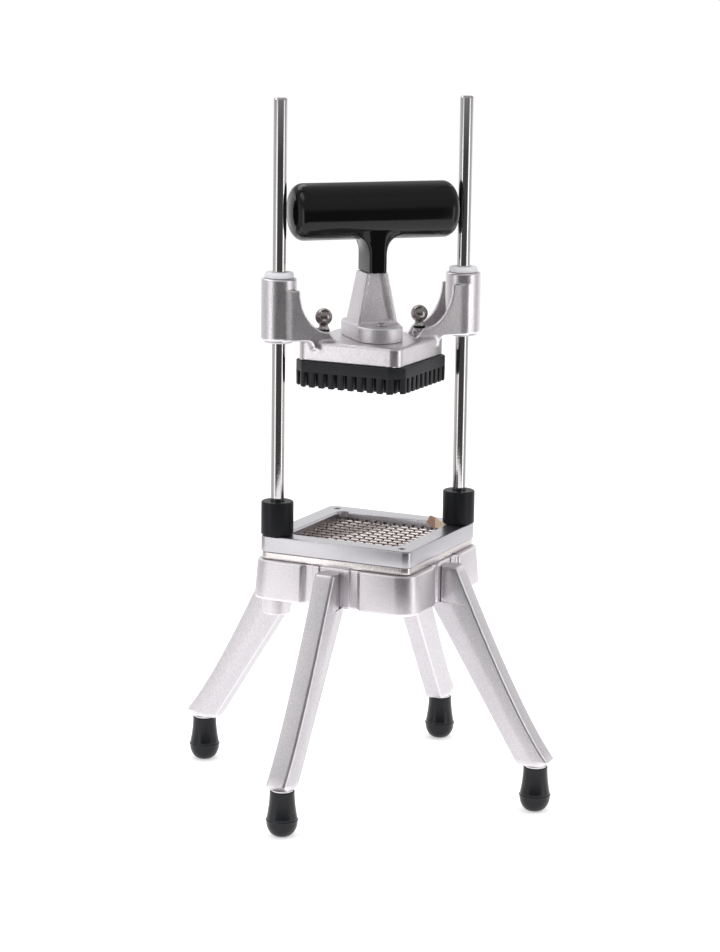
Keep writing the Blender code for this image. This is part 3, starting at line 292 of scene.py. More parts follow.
noiseRange = (0.3, 0.7)  # the noise's values that are carried to the two ends of a finish
grainDepth = 0.0002
finishes = {
    "castAluminium": {"highlightGain": 1.3, "colour": (0.78, 0.745, 0.77), "metal": 1.0, "rough": (0.27, 0.37),
                      "patch": 26, "grain": 820, "spread": 0.17, "bump": 0.75, "fineShare": 0.85},
    "bodyAluminium": {"highlightGain": 1.25, "colour": (0.74, 0.705, 0.73), "metal": 1.0, "rough": (0.33, 0.43),
                      "patch": 26, "grain": 820, "spread": 0.13, "bump": 0.7, "fineShare": 0.8},
    # The stem's copy of the cast aluminium, painted lighter as light falling on it
    "stemAluminiumLit": {"highlightGain": 1.3, "colour": (0.86, 0.825, 0.85), "metal": 1.0, "rough": (0.46, 0.56),
                      "patch": 26, "grain": 820, "spread": 0.16, "bump": 0.6, "fineShare": 0.8},
    # The legs' copy of the cast aluminium, painted darker as shade
    "legAluminium": {"highlightGain": 1.3, "colour": (0.65, 0.625, 0.65), "metal": 1.0, "rough": (0.3, 0.4),
                     "patch": 26, "grain": 820, "spread": 0.17, "bump": 0.75, "fineShare": 0.85},
    "plateSteel": {"colour": (0.71, 0.665, 0.66), "metal": 1.0, "rough": (0.2, 0.3),
                   "patch": 30, "grain": 1100, "spread": 0.1, "bump": 0.2},
    "milledAluminium": {"colour": (0.55, 0.535, 0.565), "metal": 1.0, "rough": (0.25, 0.34),
                        "patch": 30, "grain": 900, "stretch": (1, 0.06, 1), "spread": 0.05,
                        "turn": radians(45), "bump": 0.2},
    "polishedSteel": {"colour": (0.62, 0.6, 0.6), "metal": 1.0, "rough": (0.05, 0.11),
                      "patch": 25, "grain": 1500, "stretch": (0.05, 0.05, 1), "spread": 0.03,
                      "bump": 0.04},
    # Blade steel painted dark as shade in the grid, with its tops painted bright as a highlight
    "bladeSteel": {"colour": (0.13, 0.115, 0.11), "metal": 1.0, "rough": (0.2, 0.32),
                   "patch": 60, "grain": 1200, "spread": 0.15, "bump": 0.05,
                   "ground": (201.3 * mm, 201.5 * mm, (0.95, 0.88, 0.86))},
    "blackPlastic": {"colour": (0.009, 0.0095, 0.012), "rough": (0.34, 0.46), "patch": 60,
                     "grain": 1600, "spread": 0.2, "bump": 0.15, "specular": 0.2},
    "blockPlastic": {"colour": (0.016, 0.0165, 0.02), "rough": (0.36, 0.5), "patch": 50,
                     "grain": 1300, "spread": 0.2, "bump": 0.25, "specular": 0.25},
    "glossyBlack": {"colour": (0.003, 0.003, 0.0036), "rough": (0.1, 0.17), "patch": 40,
                    "grain": 900, "spread": 0.2, "bump": 0.02, "coat": 0.1, "coatRough": 0.05,
                    "specular": 0.28},
    "blackRubber": {"colour": (0.004, 0.0045, 0.008), "rough": (0.2, 0.3), "patch": 50,
                    "grain": 1100, "spread": 0.25, "bump": 0.12, "specular": 0.34},
    "whiteNylon": {"colour": (0.83, 0.82, 0.85), "rough": (0.4, 0.55), "patch": 60,
                   "grain": 900, "spread": 0.03, "bump": 0.1},
    "gunmetal": {"colour": (0.4, 0.37, 0.355), "metal": 1.0, "rough": (0.2, 0.32),
                 "patch": 80, "grain": 1500, "spread": 0.15, "bump": 0.12},
    "bronze": {"colour": (0.98, 0.71, 0.53), "metal": 0.1, "rough": (0.28, 0.45), "patch": 300,
               "grain": 700, "stretch": (1, 1, 0.15), "spread": 0.22, "bump": 0.2},
    "darkSteel": {"colour": (0.13, 0.12, 0.125), "metal": 1.0, "rough": (0.25, 0.4), "patch": 80,
                  "grain": 1500, "spread": 0.15, "bump": 0.1},
    # A darker copy of the bronze, painted shade for the clip's flap
    "bronzeShaded": {"colour": (0.5, 0.31, 0.24), "metal": 0.4, "rough": (0.3, 0.45), "patch": 300,
                   "grain": 1500, "spread": 0.3, "bump": 0.2},
}
finish = {name: newFinish(name, values) for name, values in finishes.items()}
slotOf = {"castAluminium": "cast_aluminium", "bodyAluminium": "cast_aluminium",
          "stemAluminiumLit": "cast_aluminium", "legAluminium": "cast_aluminium",
          "milledAluminium": "milled_aluminium", "polishedSteel": "polished_steel",
          "plateSteel": "polished_steel", "darkSteel": "polished_steel",
          "bladeSteel": "blade_steel", "blackPlastic": "black_plastic",
          "blockPlastic": "black_plastic", "glossyBlack": "glossy_black",
          "blackRubber": "black_rubber", "whiteNylon": "white_nylon", "gunmetal": "gunmetal",
          "bronze": "bronze", "bronzeShaded": "bronze"}
mainFinish = {slot: finish[name] for name, slot in reversed(slotOf.items())}
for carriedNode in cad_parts.values():
    for place in carriedNode.material_slots:
        place.material = mainFinish[place.material.name.split(".")[0]]
print("finishes:", ", ".join(sorted(finish)))


rod = sized(reach=75.368, radius=5.25, bottom=154, top=545, chamfer=1.2)
rodPlaces = {"left": (-rod["reach"], 0, 0), "right": (rod["reach"], 0, 0)}
rodProfile = softCorners([(0, rod["bottom"]), (rod["radius"], rod["bottom"]),
                          (rod["radius"], rod["top"] - rod["chamfer"]),
                          (rod["radius"] - rod["chamfer"], rod["top"]), (0, rod["top"])],
                         0.25 * mm, 4, closed=False)
stop = sized(bore=5.55, radius=12.55, bottom=208.7, top=234.8, edge=1.0, lip=0.7)
stopProfile = softCorners([(stop["bore"], stop["bottom"]), (stop["radius"], stop["bottom"]),
                           (stop["radius"], stop["top"]), (stop["bore"], stop["top"])],
                          [0.3 * mm, stop["edge"], stop["edge"], stop["lip"]], 6)
for side, place in rodPlaces.items():
    shellPiece("guideRod_" + side, [(lathe(rodProfile, 72, place), False)],
               finish["polishedSteel"], "stand", ["guide_rod_" + side])
    shellPiece("rodStop_" + side, [(lathe(stopProfile, 72, place), True)],
               finish["blackPlastic"], "stand", ["bumper_" + side])
print("rods and stops")


body = sized(top=190, bottom=159, half=68, draft=2, corner=15, bottomEdge=2.5, topEdge=1.6,
             pocketHalf=22.5, pocketSlope=2, pocketFloor=65.5, landFace=66.9, landOuter=15.5,
             landInner=9.8, flangeOpening=48, flangeCorner=8, flangeBottom=183.5, cavity=56,
             rodBoss=11.5, screwBoss=7.5, bossBottom=146, boltHole=4.5, landSlope=0.6,
             pocketEdges=(2.0, 1.4, 0.3, 0.45, 0.45, 0.3, 0.3, 0.45, 0.45, 0.3, 1.4, 2.0),
             flangeLand=0.9, flangeEdge=0.4, hollowEdge=0.5, hollowFoot=0.8, bossTaper=0.5,
             bossSunk=1, bossEdges=(0.3, 1.2, 0.3, 0.3))


# The outline at a half width: on each side a pocket with two raised lands, then a round corner.
# One side's corners are turned by quarter turns, (a, b) to (b, -a), and listed anticlockwise
def bodyOutline(half):
    v = body
    side = [(-v["pocketHalf"] - v["pocketSlope"], half), (-v["pocketHalf"], v["pocketFloor"]),
            (-v["landOuter"] - v["landSlope"], v["pocketFloor"]), (-v["landOuter"], v["landFace"]),
            (-v["landInner"] - v["landSlope"], v["landFace"]),
            (-v["landInner"], v["pocketFloor"])]
    side = np.array(side + [(-a, b) for a, b in reversed(side)] + [(half, half)])
    quarters = [side @ np.array([[round(cos(pi / 2 * k)), -round(sin(pi / 2 * k))],
                                 [round(sin(pi / 2 * k)), round(cos(pi / 2 * k))]])
                for k in range(4)]
    corners = np.concatenate(quarters)
    return softCorners(corners, np.tile([*v["pocketEdges"], v["corner"]], 4), 8)[::-1]


# The cavity's outline: a square pushed in by a round boss in each corner
def cavityRadius(angles):
    a = np.abs((angles + pi / 4) % (pi / 2) - pi / 4)
    square = body["cavity"] / np.cos(a)
    centre = rod["reach"]
    boss = np.where(np.floor((angles + pi) / (pi / 2)).astype(int) % 2 == 0,
                    body["screwBoss"], body["rodBoss"])
    off = a - pi / 4
    inside = np.maximum(boss ** 2 - (centre * np.sin(off)) ** 2, 0)
    near = np.where(centre * np.abs(np.sin(off)) < boss, centre * np.cos(off) - np.sqrt(inside), 1)
    return np.minimum(square, near)


bodyRings = []
for inset, z in np.concatenate([rim(body["bottom"], body["bottomEdge"], -1),
                                rim(body["top"], body["topEdge"], 1)]):
    drafted = body["half"] + body["draft"] * (body["top"] - z) / (body["top"] - body["bottom"])
    bodyRings.append(carried(bodyOutline(drafted), [(inset, z)])[0])
bodyAngles = np.arctan2(bodyRings[8][:, 1], bodyRings[8][:, 0])
flangeOutline = softRectangle(body["flangeOpening"], body["flangeOpening"], body["flangeCorner"], 12)
toward = np.stack([np.cos(bodyAngles), np.sin(bodyAngles)], axis=1)
flangeRadius = radiusAt(flangeOutline, bodyAngles)
hollowRadius = cavityRadius(bodyAngles)
for radius, z in ((flangeRadius + body["flangeLand"], body["top"]),
                  (flangeRadius + body["flangeEdge"], body["top"]),
                  (flangeRadius, body["top"] - body["flangeEdge"]),
                  (flangeRadius, body["flangeBottom"]),
                  (hollowRadius - body["hollowEdge"], body["flangeBottom"]),
                  (hollowRadius, body["flangeBottom"] - body["hollowEdge"]),
                  (hollowRadius, body["bottom"] + body["hollowFoot"]),
                  (hollowRadius + body["hollowEdge"], body["bottom"])):
    flat = toward * radius[:, None]
    bodyRings.append(np.column_stack([flat, np.full(len(flat), z)]))
bossProfile = softCorners([(body["boltHole"], body["bossBottom"]),
                           (body["rodBoss"] - body["bossTaper"], body["bossBottom"]),
                           (body["rodBoss"], body["flangeBottom"] - body["bossSunk"]),
                           (body["boltHole"], body["flangeBottom"] - body["bossSunk"])],
                          body["bossEdges"], 5)
shellPiece("bodyCasting", [(fromSquare(np.stack(bodyRings)), True)]
           + [(lathe(bossProfile, 48, place), True) for place in rodPlaces.values()],
           finish["bodyAluminium"], "stand", ["body_casting"], paintedHighlight=15)
print("body casting")


leg = sized(top=187, topOut=79, seat=65.8, shoulder=158.7, heelOut=158.5, heelHeight=41.3,
            bottom=36.8, underOut=56.3, toeOut=132.8, half=8, ridge=9.2, inner=7.2, cut=4.5,
            edges=(2.4, 2.4, 3.0, 1.2, 1.2, 3.0), topInset=(2.4, 0.6, 1.2), topEdge=1.5,
            topRun=5, seatEdge=0.3, underEdge=0.6, nearShoulder=0.8, nearHeel=0.6, heelEdge=0.2,
            plain={"bendRise": 0.76, "bendOut": 0.64,
                   "toeRows": mm * np.array([(0.7, -0.4, 0.6, 0), (0, 0.4, 0, 0.4),
                                             (-0.6, 0.9, 0, 0.9)])})
legAngles = {"front_right": -45, "front_left": -135, "back_left": 135, "back_right": 45}


# Radius of the outer edge at height z: the quadratic curve (1-t)^2 P0 + 2 t (1-t) P1 + t^2 P2,
# solved for t at z
def outerEdge(z):
    v = leg
    bendZ = v["top"] - v["bendRise"] * (v["top"] - v["heelHeight"])
    bendR = v["topOut"] + v["bendOut"] * (v["heelOut"] - v["topOut"])
    square = v["top"] - 2 * bendZ + v["heelHeight"]
    linear = 2 * (bendZ - v["top"])
    t = (-linear - np.sqrt(linear ** 2 - 4 * square * (v["top"] - z))) / (2 * square)
    return (1 - t) ** 2 * v["topOut"] + 2 * t * (1 - t) * bendR + t ** 2 * v["heelOut"]


# Radius of the inner edge below the shoulder: a straight line from there to the toe; the pocket seat
# above the shoulder is given where the rings are made
def innerEdge(z):
    v = leg
    share = (v["shoulder"] - z) / (v["shoulder"] - v["bottom"])
    return v["underOut"] + share * (v["toeOut"] - v["underOut"])


# A leg's section at height z, between its outer and inner radius: six corners, softened
def legRing(outer, inner, z, shrink=0.0):
    v = leg
    middle = (outer + inner) / 2
    corners = [(outer, -v["half"] + shrink), (outer, v["half"] - shrink),
               (middle, v["ridge"] - shrink), (inner, v["inner"] - shrink),
               (inner, -v["inner"] + shrink), (middle, -v["ridge"] + shrink)]
    ring = softCorners(corners, v["edges"], 9)
    return np.column_stack([ring, np.full(len(ring), z)])


outerInset, innerInset, narrowed = leg["topInset"]
legRings = [legRing(leg["topOut"] - outerInset, leg["seat"] + innerInset, leg["top"], narrowed)]
for a in np.linspace(pi / 2, 0, 5):
    z = leg["top"] - leg["topEdge"] * (1 - sin(a))
    off = leg["topEdge"] * (1 - cos(a))
    legRings.append(legRing(outerEdge(z) - off, leg["seat"] + 0.2 * off, z, 0.5 * off))
for z in np.linspace(leg["top"] - leg["topRun"], leg["shoulder"] + leg["nearShoulder"], 5):
    legRings.append(legRing(outerEdge(z), leg["seat"], z))
for inner in (leg["seat"] - leg["seatEdge"], leg["underOut"] + leg["underEdge"]):
    legRings.append(legRing(outerEdge(leg["shoulder"]), inner, leg["shoulder"]))
for z in np.linspace(leg["shoulder"] - leg["nearShoulder"], leg["heelHeight"] + leg["nearHeel"], 22):
    legRings.append(legRing(outerEdge(z), innerEdge(z), z))
legRings.append(legRing(leg["heelOut"] - leg["heelEdge"], innerEdge(leg["heelHeight"]),
                        leg["heelHeight"]))
for outward, inward, up, narrowed in leg["toeRows"]:
    legRings.append(legRing(leg["heelOut"] - leg["cut"] + outward, leg["toeOut"] + inward,
                            leg["bottom"] + up, narrowed))
foot = sized(height=35.2, reach=145.8, neck=9.4, bulge=12, bulgeHeight=12.5, flat=4, seam=0.3,
             bore=3.3, boreDepth=21, seamRows=(-0.6, -0.2, 0.4, 0.9), seamEdge=0.3, neckEdge=0.4)
domeAngle = np.linspace(0, pi / 2 - 0.1, 12)
dome = np.column_stack([foot["flat"] + (foot["bulge"] - foot["flat"]) * np.sin(domeAngle),
                        foot["bulgeHeight"] * (1 - np.cos(domeAngle))])
seam = [(foot["bulge"] + proud, foot["bulgeHeight"] + row) for proud, row in
        zip((0, foot["seam"], foot["seam"], -foot["seamEdge"]), foot["seamRows"])]
rise = np.linspace(0.06, 0.99, 14)
neck = np.column_stack([foot["neck"] + (foot["bulge"] - foot["neck"]) * (1 - rise) ** 1.9,
                        foot["bulgeHeight"] + rise * (foot["height"] - foot["bulgeHeight"])])
footProfile = np.concatenate([[(0, 0)], dome, seam, neck,
                              [(foot["neck"] - foot["neckEdge"], foot["height"]),
                               (foot["bore"], foot["height"]),
                               (foot["bore"], foot["height"] - foot["boreDepth"]),
                               (0, foot["height"] - foot["boreDepth"])]])
for side, degrees in legAngles.items():
    turn = radians(degrees)
    shellPiece("leg_" + side + "_cast", [(placed(np.stack(legRings), turn), False)],
               finish["legAluminium"], "stand", ["leg_" + side], 30, 7)
    toe = (foot["reach"] * cos(turn), foot["reach"] * sin(turn), 0)
    shellPiece("foot_" + side + "_rubber", [(lathe(footProfile, 56, toe), False)],
               finish["blackRubber"], "stand", ["foot_" + side], 50)
print("legs and feet")


blades = sized(opening=47.5, openingCorner=8, half=63.9, corner=6, top=208.4, bottom=196,
               edge=1.4, innerEdge=1.7, relief=(4.9, 203.3), baseTop=195.7, baseBottom=190.3,
               baseInset=0.6, baseCorner=16, baseEdge=0.9)


# A square ring: rings of the outer outline, then rings of the opening, closed into a loop. A
# relief of (depth, top) widens the opening below a height
def squareRing(outer, inner, top, bottom, edge, innerEdge, relief=None):
    outside = carried(outer, np.concatenate([rim(bottom, 0.3 * mm, -1), rim(top, edge, 1)]))
    foot = rim(bottom, 0.3 * mm, -1)
    if relief:
        depth, ceiling = relief
        foot = np.concatenate([foot + (depth, 0), [(depth, ceiling), (0.3 * mm, ceiling),
                                                   (0, ceiling + 0.3 * mm)]])
    opening = np.concatenate([foot, rim(top, innerEdge, 1)])
    opening[:, 0] *= -1
    inside = carried(inner, opening)[::-1]
    return fromSquare(np.concatenate([outside, inside]))


rimOutline = softRectangle(blades["half"], blades["half"], blades["corner"], 12)
openOutline = softRectangle(blades["opening"], blades["opening"], blades["openingCorner"], 12)
baseHalf = blades["half"] - blades["baseInset"]
baseOutline = softRectangle(baseHalf, baseHalf, blades["corner"], 12)
baseOpening = softRectangle(blades["opening"], blades["opening"], blades["baseCorner"], 12)
shellPiece("bladeFrameBase", [(squareRing(baseOutline, baseOpening, blades["baseTop"],
                                          blades["baseBottom"], blades["baseEdge"], 0.4 * mm), True)],
           finish["plateSteel"], "stand", ["blade_frame_base"])
frameScrew = sized(reach=75.368, radius=2.6, top=208.1, socket=1.25, shank=1.5, cone=1.8, tip=181,
                   gap=0.3, sinkFloor=4, sinkCone=2.1, sinkOver=2, socketRim=0.1,
                   socketDeep=1.3, socketFloor=1.4)
bladeFrame = shellPiece("bladeFrame", [(squareRing(rimOutline, openOutline, blades["top"],
                        blades["bottom"], blades["edge"], blades["innerEdge"], blades["relief"]),
                        True)], finish["milledAluminium"], "stand", ["blade_frame"])
screwFloor, screwOver = (frameScrew["top"] - frameScrew["sinkFloor"],
                         frameScrew["top"] + frameScrew["sinkOver"])
shankHole, headHole = (frameScrew[part] + frameScrew["gap"] for part in ("shank", "radius"))
screwSink = softCorners([(0, screwFloor), (shankHole, screwFloor),
                         (shankHole, frameScrew["top"] - frameScrew["sinkCone"]),
                         (headHole, frameScrew["top"]), (headHole, screwOver),
                         (0, screwOver)], 0.05 * mm, 3, closed=False)
screwShape = softCorners([(0, frameScrew["tip"]), (frameScrew["shank"], frameScrew["tip"]),
                          (frameScrew["shank"], frameScrew["top"] - frameScrew["cone"]),
                          (frameScrew["radius"], frameScrew["top"]),
                          (frameScrew["socket"], frameScrew["top"] + frameScrew["socketRim"]),
                          (frameScrew["socket"] - frameScrew["socketRim"],
                           frameScrew["top"] - frameScrew["socketDeep"]),
                          (0, frameScrew["top"] - frameScrew["socketFloor"])],
                         0.1 * mm, 4, closed=False)
for side, y in (("front", -frameScrew["reach"]), ("back", frameScrew["reach"])):
    cutFrom(bladeFrame, lathe(screwSink, 32, (0, y, 0)))
    shellPiece("frameScrew_" + side, [(lathe(screwShape, 32, (0, y, 0)), False)],
               finish["darkSteel"], "stand", ["frame_screw_" + side])
print("blade frame")


comb = sized(out=52, half=44, bottom=196, top=203, slotHalf=1.15, slotTop=199.85, pitch=8.2,
             plain={"in": 48 * mm, "count": 11})
blade = sized(end=51.7, half=0.3, edgeHalf=0.1, bevel=0.6, notchHalf=0.55, notch=1.2, upper=200.1,
              lower=197.1, height=2.7, lowerNotch=0.5, plain={"steps": 20})
crossings = (np.arange(comb["count"]) - (comb["count"] - 1) / 2) * comb["pitch"]


# 1 at a crossing and 0 between crossings, with a ramp of a given width at half a notch away
def nearCrossing(s, half, ramp):
    off = np.abs(s[:, None] - crossings[None]).min(axis=1)
    return np.clip((half - off) / ramp + 0.5, 0, 1)


# A strip along s: at each s a ring of (across, z), its upper points moved with the top's height
def strip(s, ring, lift):
    across, z, share = np.asarray(ring, float).T
    return np.stack([np.broadcast_to(s[:, None], (len(s), len(ring))),
                     np.broadcast_to(across, (len(s), len(ring))),
                     z + share * lift[:, None]], axis=-1)


# One blade along s with a notched, bevelled top edge: z = top - notch * near(s)
def bladeStrip(place, bottom, top, notch):
    v = blade
    s = np.linspace(-v["end"], v["end"], comb["count"] * v["steps"] + 1)
    ring = [(place - v["half"], bottom, 0), (place + v["half"], bottom, 0),
            (place + v["half"], top - v["bevel"], 1), (place + v["edgeHalf"], top, 1),
            (place - v["edgeHalf"], top, 1), (place - v["half"], top - v["bevel"], 1)]
    return strip(s, ring, -notch * nearCrossing(s, v["notchHalf"], 0.9 * mm))


# An end bar along s, cut down to the blades' level by a slot at each blade
def combBar(side):
    v = comb
    s = np.sort(np.concatenate([np.linspace(-v["half"], v["half"], 40)]
                               + [crossings + k * mm for k in (-1.3, -1.1, -0.9, 0.9, 1.1, 1.3)]))
    near, far = sorted((side * v["in"], side * v["out"]))
    ring = [(near, v["bottom"], 0), (far, v["bottom"], 0), (far, v["top"], 1), (near, v["top"], 1)]
    depth = v["top"] - v["slotTop"]
    bar = strip(s, ring, -depth * nearCrossing(s, v["slotHalf"], 0.12 * mm))
    return bar[..., [1, 0, 2]]


for name, level, notch, turned in (("upper", blade["upper"], blade["notch"], False),
                                   ("lower", blade["lower"], blade["lowerNotch"], True)):
    shells = [bladeStrip(place, level, level + blade["height"], notch) for place in crossings]
    shells += [combBar(side) for side in (-1, 1)]
    order = [1, 0, 2] if turned else [0, 1, 2]
    shellPiece(name + "Blades", [(fromSquare(shell[..., order]), False) for shell in shells],
               finish["bladeSteel"], "stand", [name + "_blade_set"], 30)
print("blades")

clip = sized(line=47.2, arc=7.7, thick=0.4, foot=203.4, long=11, short=4, fold=3.4, slant=5.2,
             ripple=0.07, plain={"edge": ((-11, 207.3), (-7.7, 213.2), (-3.2, 211.9), (0, 209.7),
             (4, 208.5), (12.1, 208.1), (16.1, 208.1))})


# Part of the bronze leaf, from a start to an end measured along its middle, s: along the wall,
# round the corner's arc and along the next wall. Its foot slants at the free end,
# z = foot + slant * (1 - (s + long) / slant), and its face ripples, off = ripple * sin(4 s / mm)
def leaf(start, stop):
    v = clip
    turn = v["arc"] * pi / 2
    s = np.linspace(start, stop, 60)
    centre = v["line"] - v["arc"]
    angle = np.clip((turn - s) / v["arc"], 0, pi / 2)
    out = np.stack([np.cos(angle), np.sin(angle)], axis=1)
    middle = centre + v["arc"] * out
    middle[:, 0] += np.minimum(s, 0)
    middle[:, 1] -= np.maximum(s - turn, 0)
    top = np.interp(s, *(np.array(v["edge"]).T * mm))
    foot = v["foot"] + np.maximum(v["slant"] - (s + v["long"]), 0) * 0.75
    ripple = v["ripple"] * (1 + np.sin(4 * s / mm)) * (s > -v["fold"])
    rings = []
    for depth, z in ((0, foot), (0, top - 0.1 * mm), (0.1 * mm, top), (v["thick"] - 0.1 * mm, top),
                     (v["thick"], top - 0.1 * mm), (v["thick"], foot)):
        flat = middle - out * (depth - ripple if depth > v["thick"] / 2 else depth + 0 * s)[:, None]
        rings.append(np.column_stack([flat, z + 0 * s]))
    return fromSquare(np.stack(rings, axis=1))


shellPiece("cornerClip", [(leaf(-clip["fold"], 0.5 * pi * clip["arc"] + clip["short"]), False)],
           finish["bronze"], "stand", ["corner_clip"], 20)
# The leaf's flap takes the darker copy of the bronze, a painted shade
shellPiece("cornerClipFlap", [(leaf(-clip["long"], -clip["fold"]), False)], finish["bronzeShaded"],
           "stand", (), 20)
print("corner clip")

block = sized(half=46.5, cut=9.6, top=344.6, ceiling=336.2, tip=324.5, slotHalf=1.6, edge=0.7,
              corner=0.8, round=1.3, draft=0.18)


# A peg between two slots each way: its square, cut where the block's corner is cut, carried down
# with a little draft to an end rounded by inset = r (1 - cos a), z = tip + r (1 - sin a)
def peg(lowA, highA, lowB, highB):
    v = block
    signA, signB = np.sign(lowA + highA) or 1, np.sign(lowB + highB) or 1
    farA, farB = max(abs(lowA), abs(highA)), max(abs(lowB), abs(highB))
    nearA, nearB = min(abs(lowA), abs(highA)), min(abs(lowB), abs(highB))
    limit = 2 * v["half"] - v["cut"]
    corners = [(nearA, nearB), (farA, nearB), (farA, farB), (nearA, farB)]
    if farA + farB > limit + 0.2 * mm:
        corners[2:3] = [(farA, limit - farA), (limit - farB, farB)]
    outline = np.array(corners) * (signA, signB)
    if signA * signB < 0:
        outline = outline[::-1]
    outline = softCorners(outline, 0.35 * mm, 3)
    a = np.linspace(0, pi / 2, 5)
    rows = [(0, v["ceiling"] + 0.2 * mm), (0, v["ceiling"])]
    rows += [(v["draft"] + 0.62 * v["round"] * (1 - cos(t)), v["tip"] + v["round"] * (1 - sin(t)))
             for t in a]
    return fromSquare(carried(outline, rows))


cutAt = block["half"] - block["cut"]
blockOutline = softCorners([(block["half"], -cutAt), (block["half"], cutAt), (cutAt, block["half"]),
                            (-cutAt, block["half"]), (-block["half"], cutAt),
                            (-block["half"], -cutAt), (-cutAt, -block["half"]),
                            (cutAt, -block["half"])], block["corner"], 5)
edges = np.concatenate([[-block["half"]], np.sort(np.concatenate([crossings - block["slotHalf"],
                        crossings + block["slotHalf"]])), [block["half"]]]).reshape(-1, 2)
pegs = [peg(lowA, highA, lowB, highB) for lowA, highA in edges for lowB, highB in edges
        if abs(lowA + highA) + abs(lowB + highB) < 4 * block["half"] - 2 * block["cut"]]
slab = carried(blockOutline, np.concatenate([rim(block["ceiling"], 0.3 * mm, -1, 3),
                                             rim(block["top"], block["edge"], 1)]))
pushBlock = shellPiece("pushBlock", [(fromSquare(slab), False)] + [(shape, False) for shape in pegs],
                       finish["blockPlastic"], "pusher", ["push_block"], 40)
print("push block:", len(pegs), "pegs")


head = sized(plateHalf=43.5, plateCorner=8, plateTop=359.7, plateBottom=344.9, plateEdge=2.4,
             sleeve=13.8, sleeveBottom=360.6, sleeveTop=408.5, sleeveEdge=1.3, sleeveFoot=2.6,
             sleeveBore=7.75, pinReach=39.2, pinBore=4.5, webMiddle=11.8, webHalf=1.8,
             webEdge=0.9, webTop=400, webNeck=62.37, scoopWide=24, scoopHigh=33, toeRun=5,
             armBottom=360.8, underStart=57.47, under=6.5, floorTop=364.4, floorStart=44.9,
             fillet=3.2, pitch=0.8)


# Distance to a square with rounded corners
def roundSquare(a, b, half, corner):
    u, v = np.abs(a) - half + corner, np.abs(b) - half + corner
    return np.hypot(np.maximum(u, 0), np.maximum(v, 0)) + np.minimum(np.maximum(u, v), 0) - corner


# Two distances crossed into one solid with its edge rounded
def crossed(first, second, edge):
    u, v = first + edge, second + edge
    return np.hypot(np.maximum(u, 0), np.maximum(v, 0)) + np.minimum(np.maximum(u, v), 0) - edge


# Two solids joined with a fillet: min(p, q) - h^2 k / 4, where h = max(k - |p - q|, 0) / k
def joinedBy(p, q, fillet):
    h = np.maximum(fillet - np.abs(p - q), 0) / fillet
    return np.minimum(p, q) - h * h * fillet / 4


# Signed distance to a polygon in (x, z), taken edge by edge
def polygonDistance(x, z, corners):
    nearest, inside = np.inf, False
    for (x0, z0), (x1, z1) in zip(corners, np.roll(corners, -1, axis=0)):
        dx, dz = x1 - x0, z1 - z0
        share = np.clip(((x - x0) * dx + (z - z0) * dz) / (dx * dx + dz * dz), 0, 1)
        nearest = np.minimum(nearest, np.hypot(x - x0 - share * dx, z - z0 - share * dz))
        if z1 != z0:
            crosses = ((z0 <= z) != (z1 <= z)) & (x < x0 + (z - z0) * dx / dz)
            inside = inside ^ crosses
    return np.where(inside, -nearest, nearest)


under = np.linspace(0, pi / 2, 9)
scoop = np.linspace(pi / 2, 0, 24)
webOutline = np.concatenate([
    [(rod["reach"], head["armBottom"])],
    np.column_stack([head["underStart"] - head["under"] * np.sin(under),
                     head["armBottom"] - head["under"] * (1 - np.cos(under))]),
    [(head["webNeck"] - head["scoopWide"] - head["toeRun"], head["armBottom"] - head["under"]),
     (head["webNeck"] - head["scoopWide"] - head["toeRun"], head["plateTop"] - 0.2 * mm)],
    np.column_stack([head["webNeck"] - head["scoopWide"] * (1 - np.cos(scoop)),
                     head["webTop"] - head["scoopHigh"] * np.sin(scoop)]),
    [(rod["reach"], head["webTop"])]])


# The head as a field, negative inside: plate, two sleeves, twin webs with a channel floor
# between them, less the bores of rods and pins
def headField(x, y, z):
    v = head
    plateSquare = roundSquare((x - y) / rootTwo, (x + y) / rootTwo, v["plateHalf"], v["plateCorner"])
    tall = 10 * mm
    plate = crossed(plateSquare, np.abs(z - v["plateTop"] + tall) - tall, v["plateEdge"])
    away = np.abs(x)
    fromRod = np.hypot(away - rod["reach"], y)
    middle = (v["sleeveBottom"] + v["sleeveTop"]) / 2
    sleeve = crossed(fromRod - v["sleeve"], np.abs(z - middle) - (v["sleeveTop"] - middle),
                     np.where(z < middle, v["sleeveFoot"], v["sleeveEdge"]))
    side = polygonDistance(away, z, webOutline)
    web = crossed(side, np.abs(np.abs(y) - v["webMiddle"]) - v["webHalf"], v["webEdge"])
    floor = np.maximum(np.maximum(side, z - v["floorTop"]), v["floorStart"] - away)
    floor = crossed(floor, np.abs(y) - v["webMiddle"], 0.4 * mm)
    arm = joinedBy(joinedBy(web, floor, 1.5 * mm), sleeve, 1.6 * mm)
    whole = joinedBy(arm, plate, v["fillet"])
    whole = np.maximum(whole, v["plateBottom"] - z)
    whole = np.maximum(whole, v["sleeveBore"] - fromRod)
    return np.maximum(whole, v["pinBore"] - np.hypot(away - v["pinReach"], y))


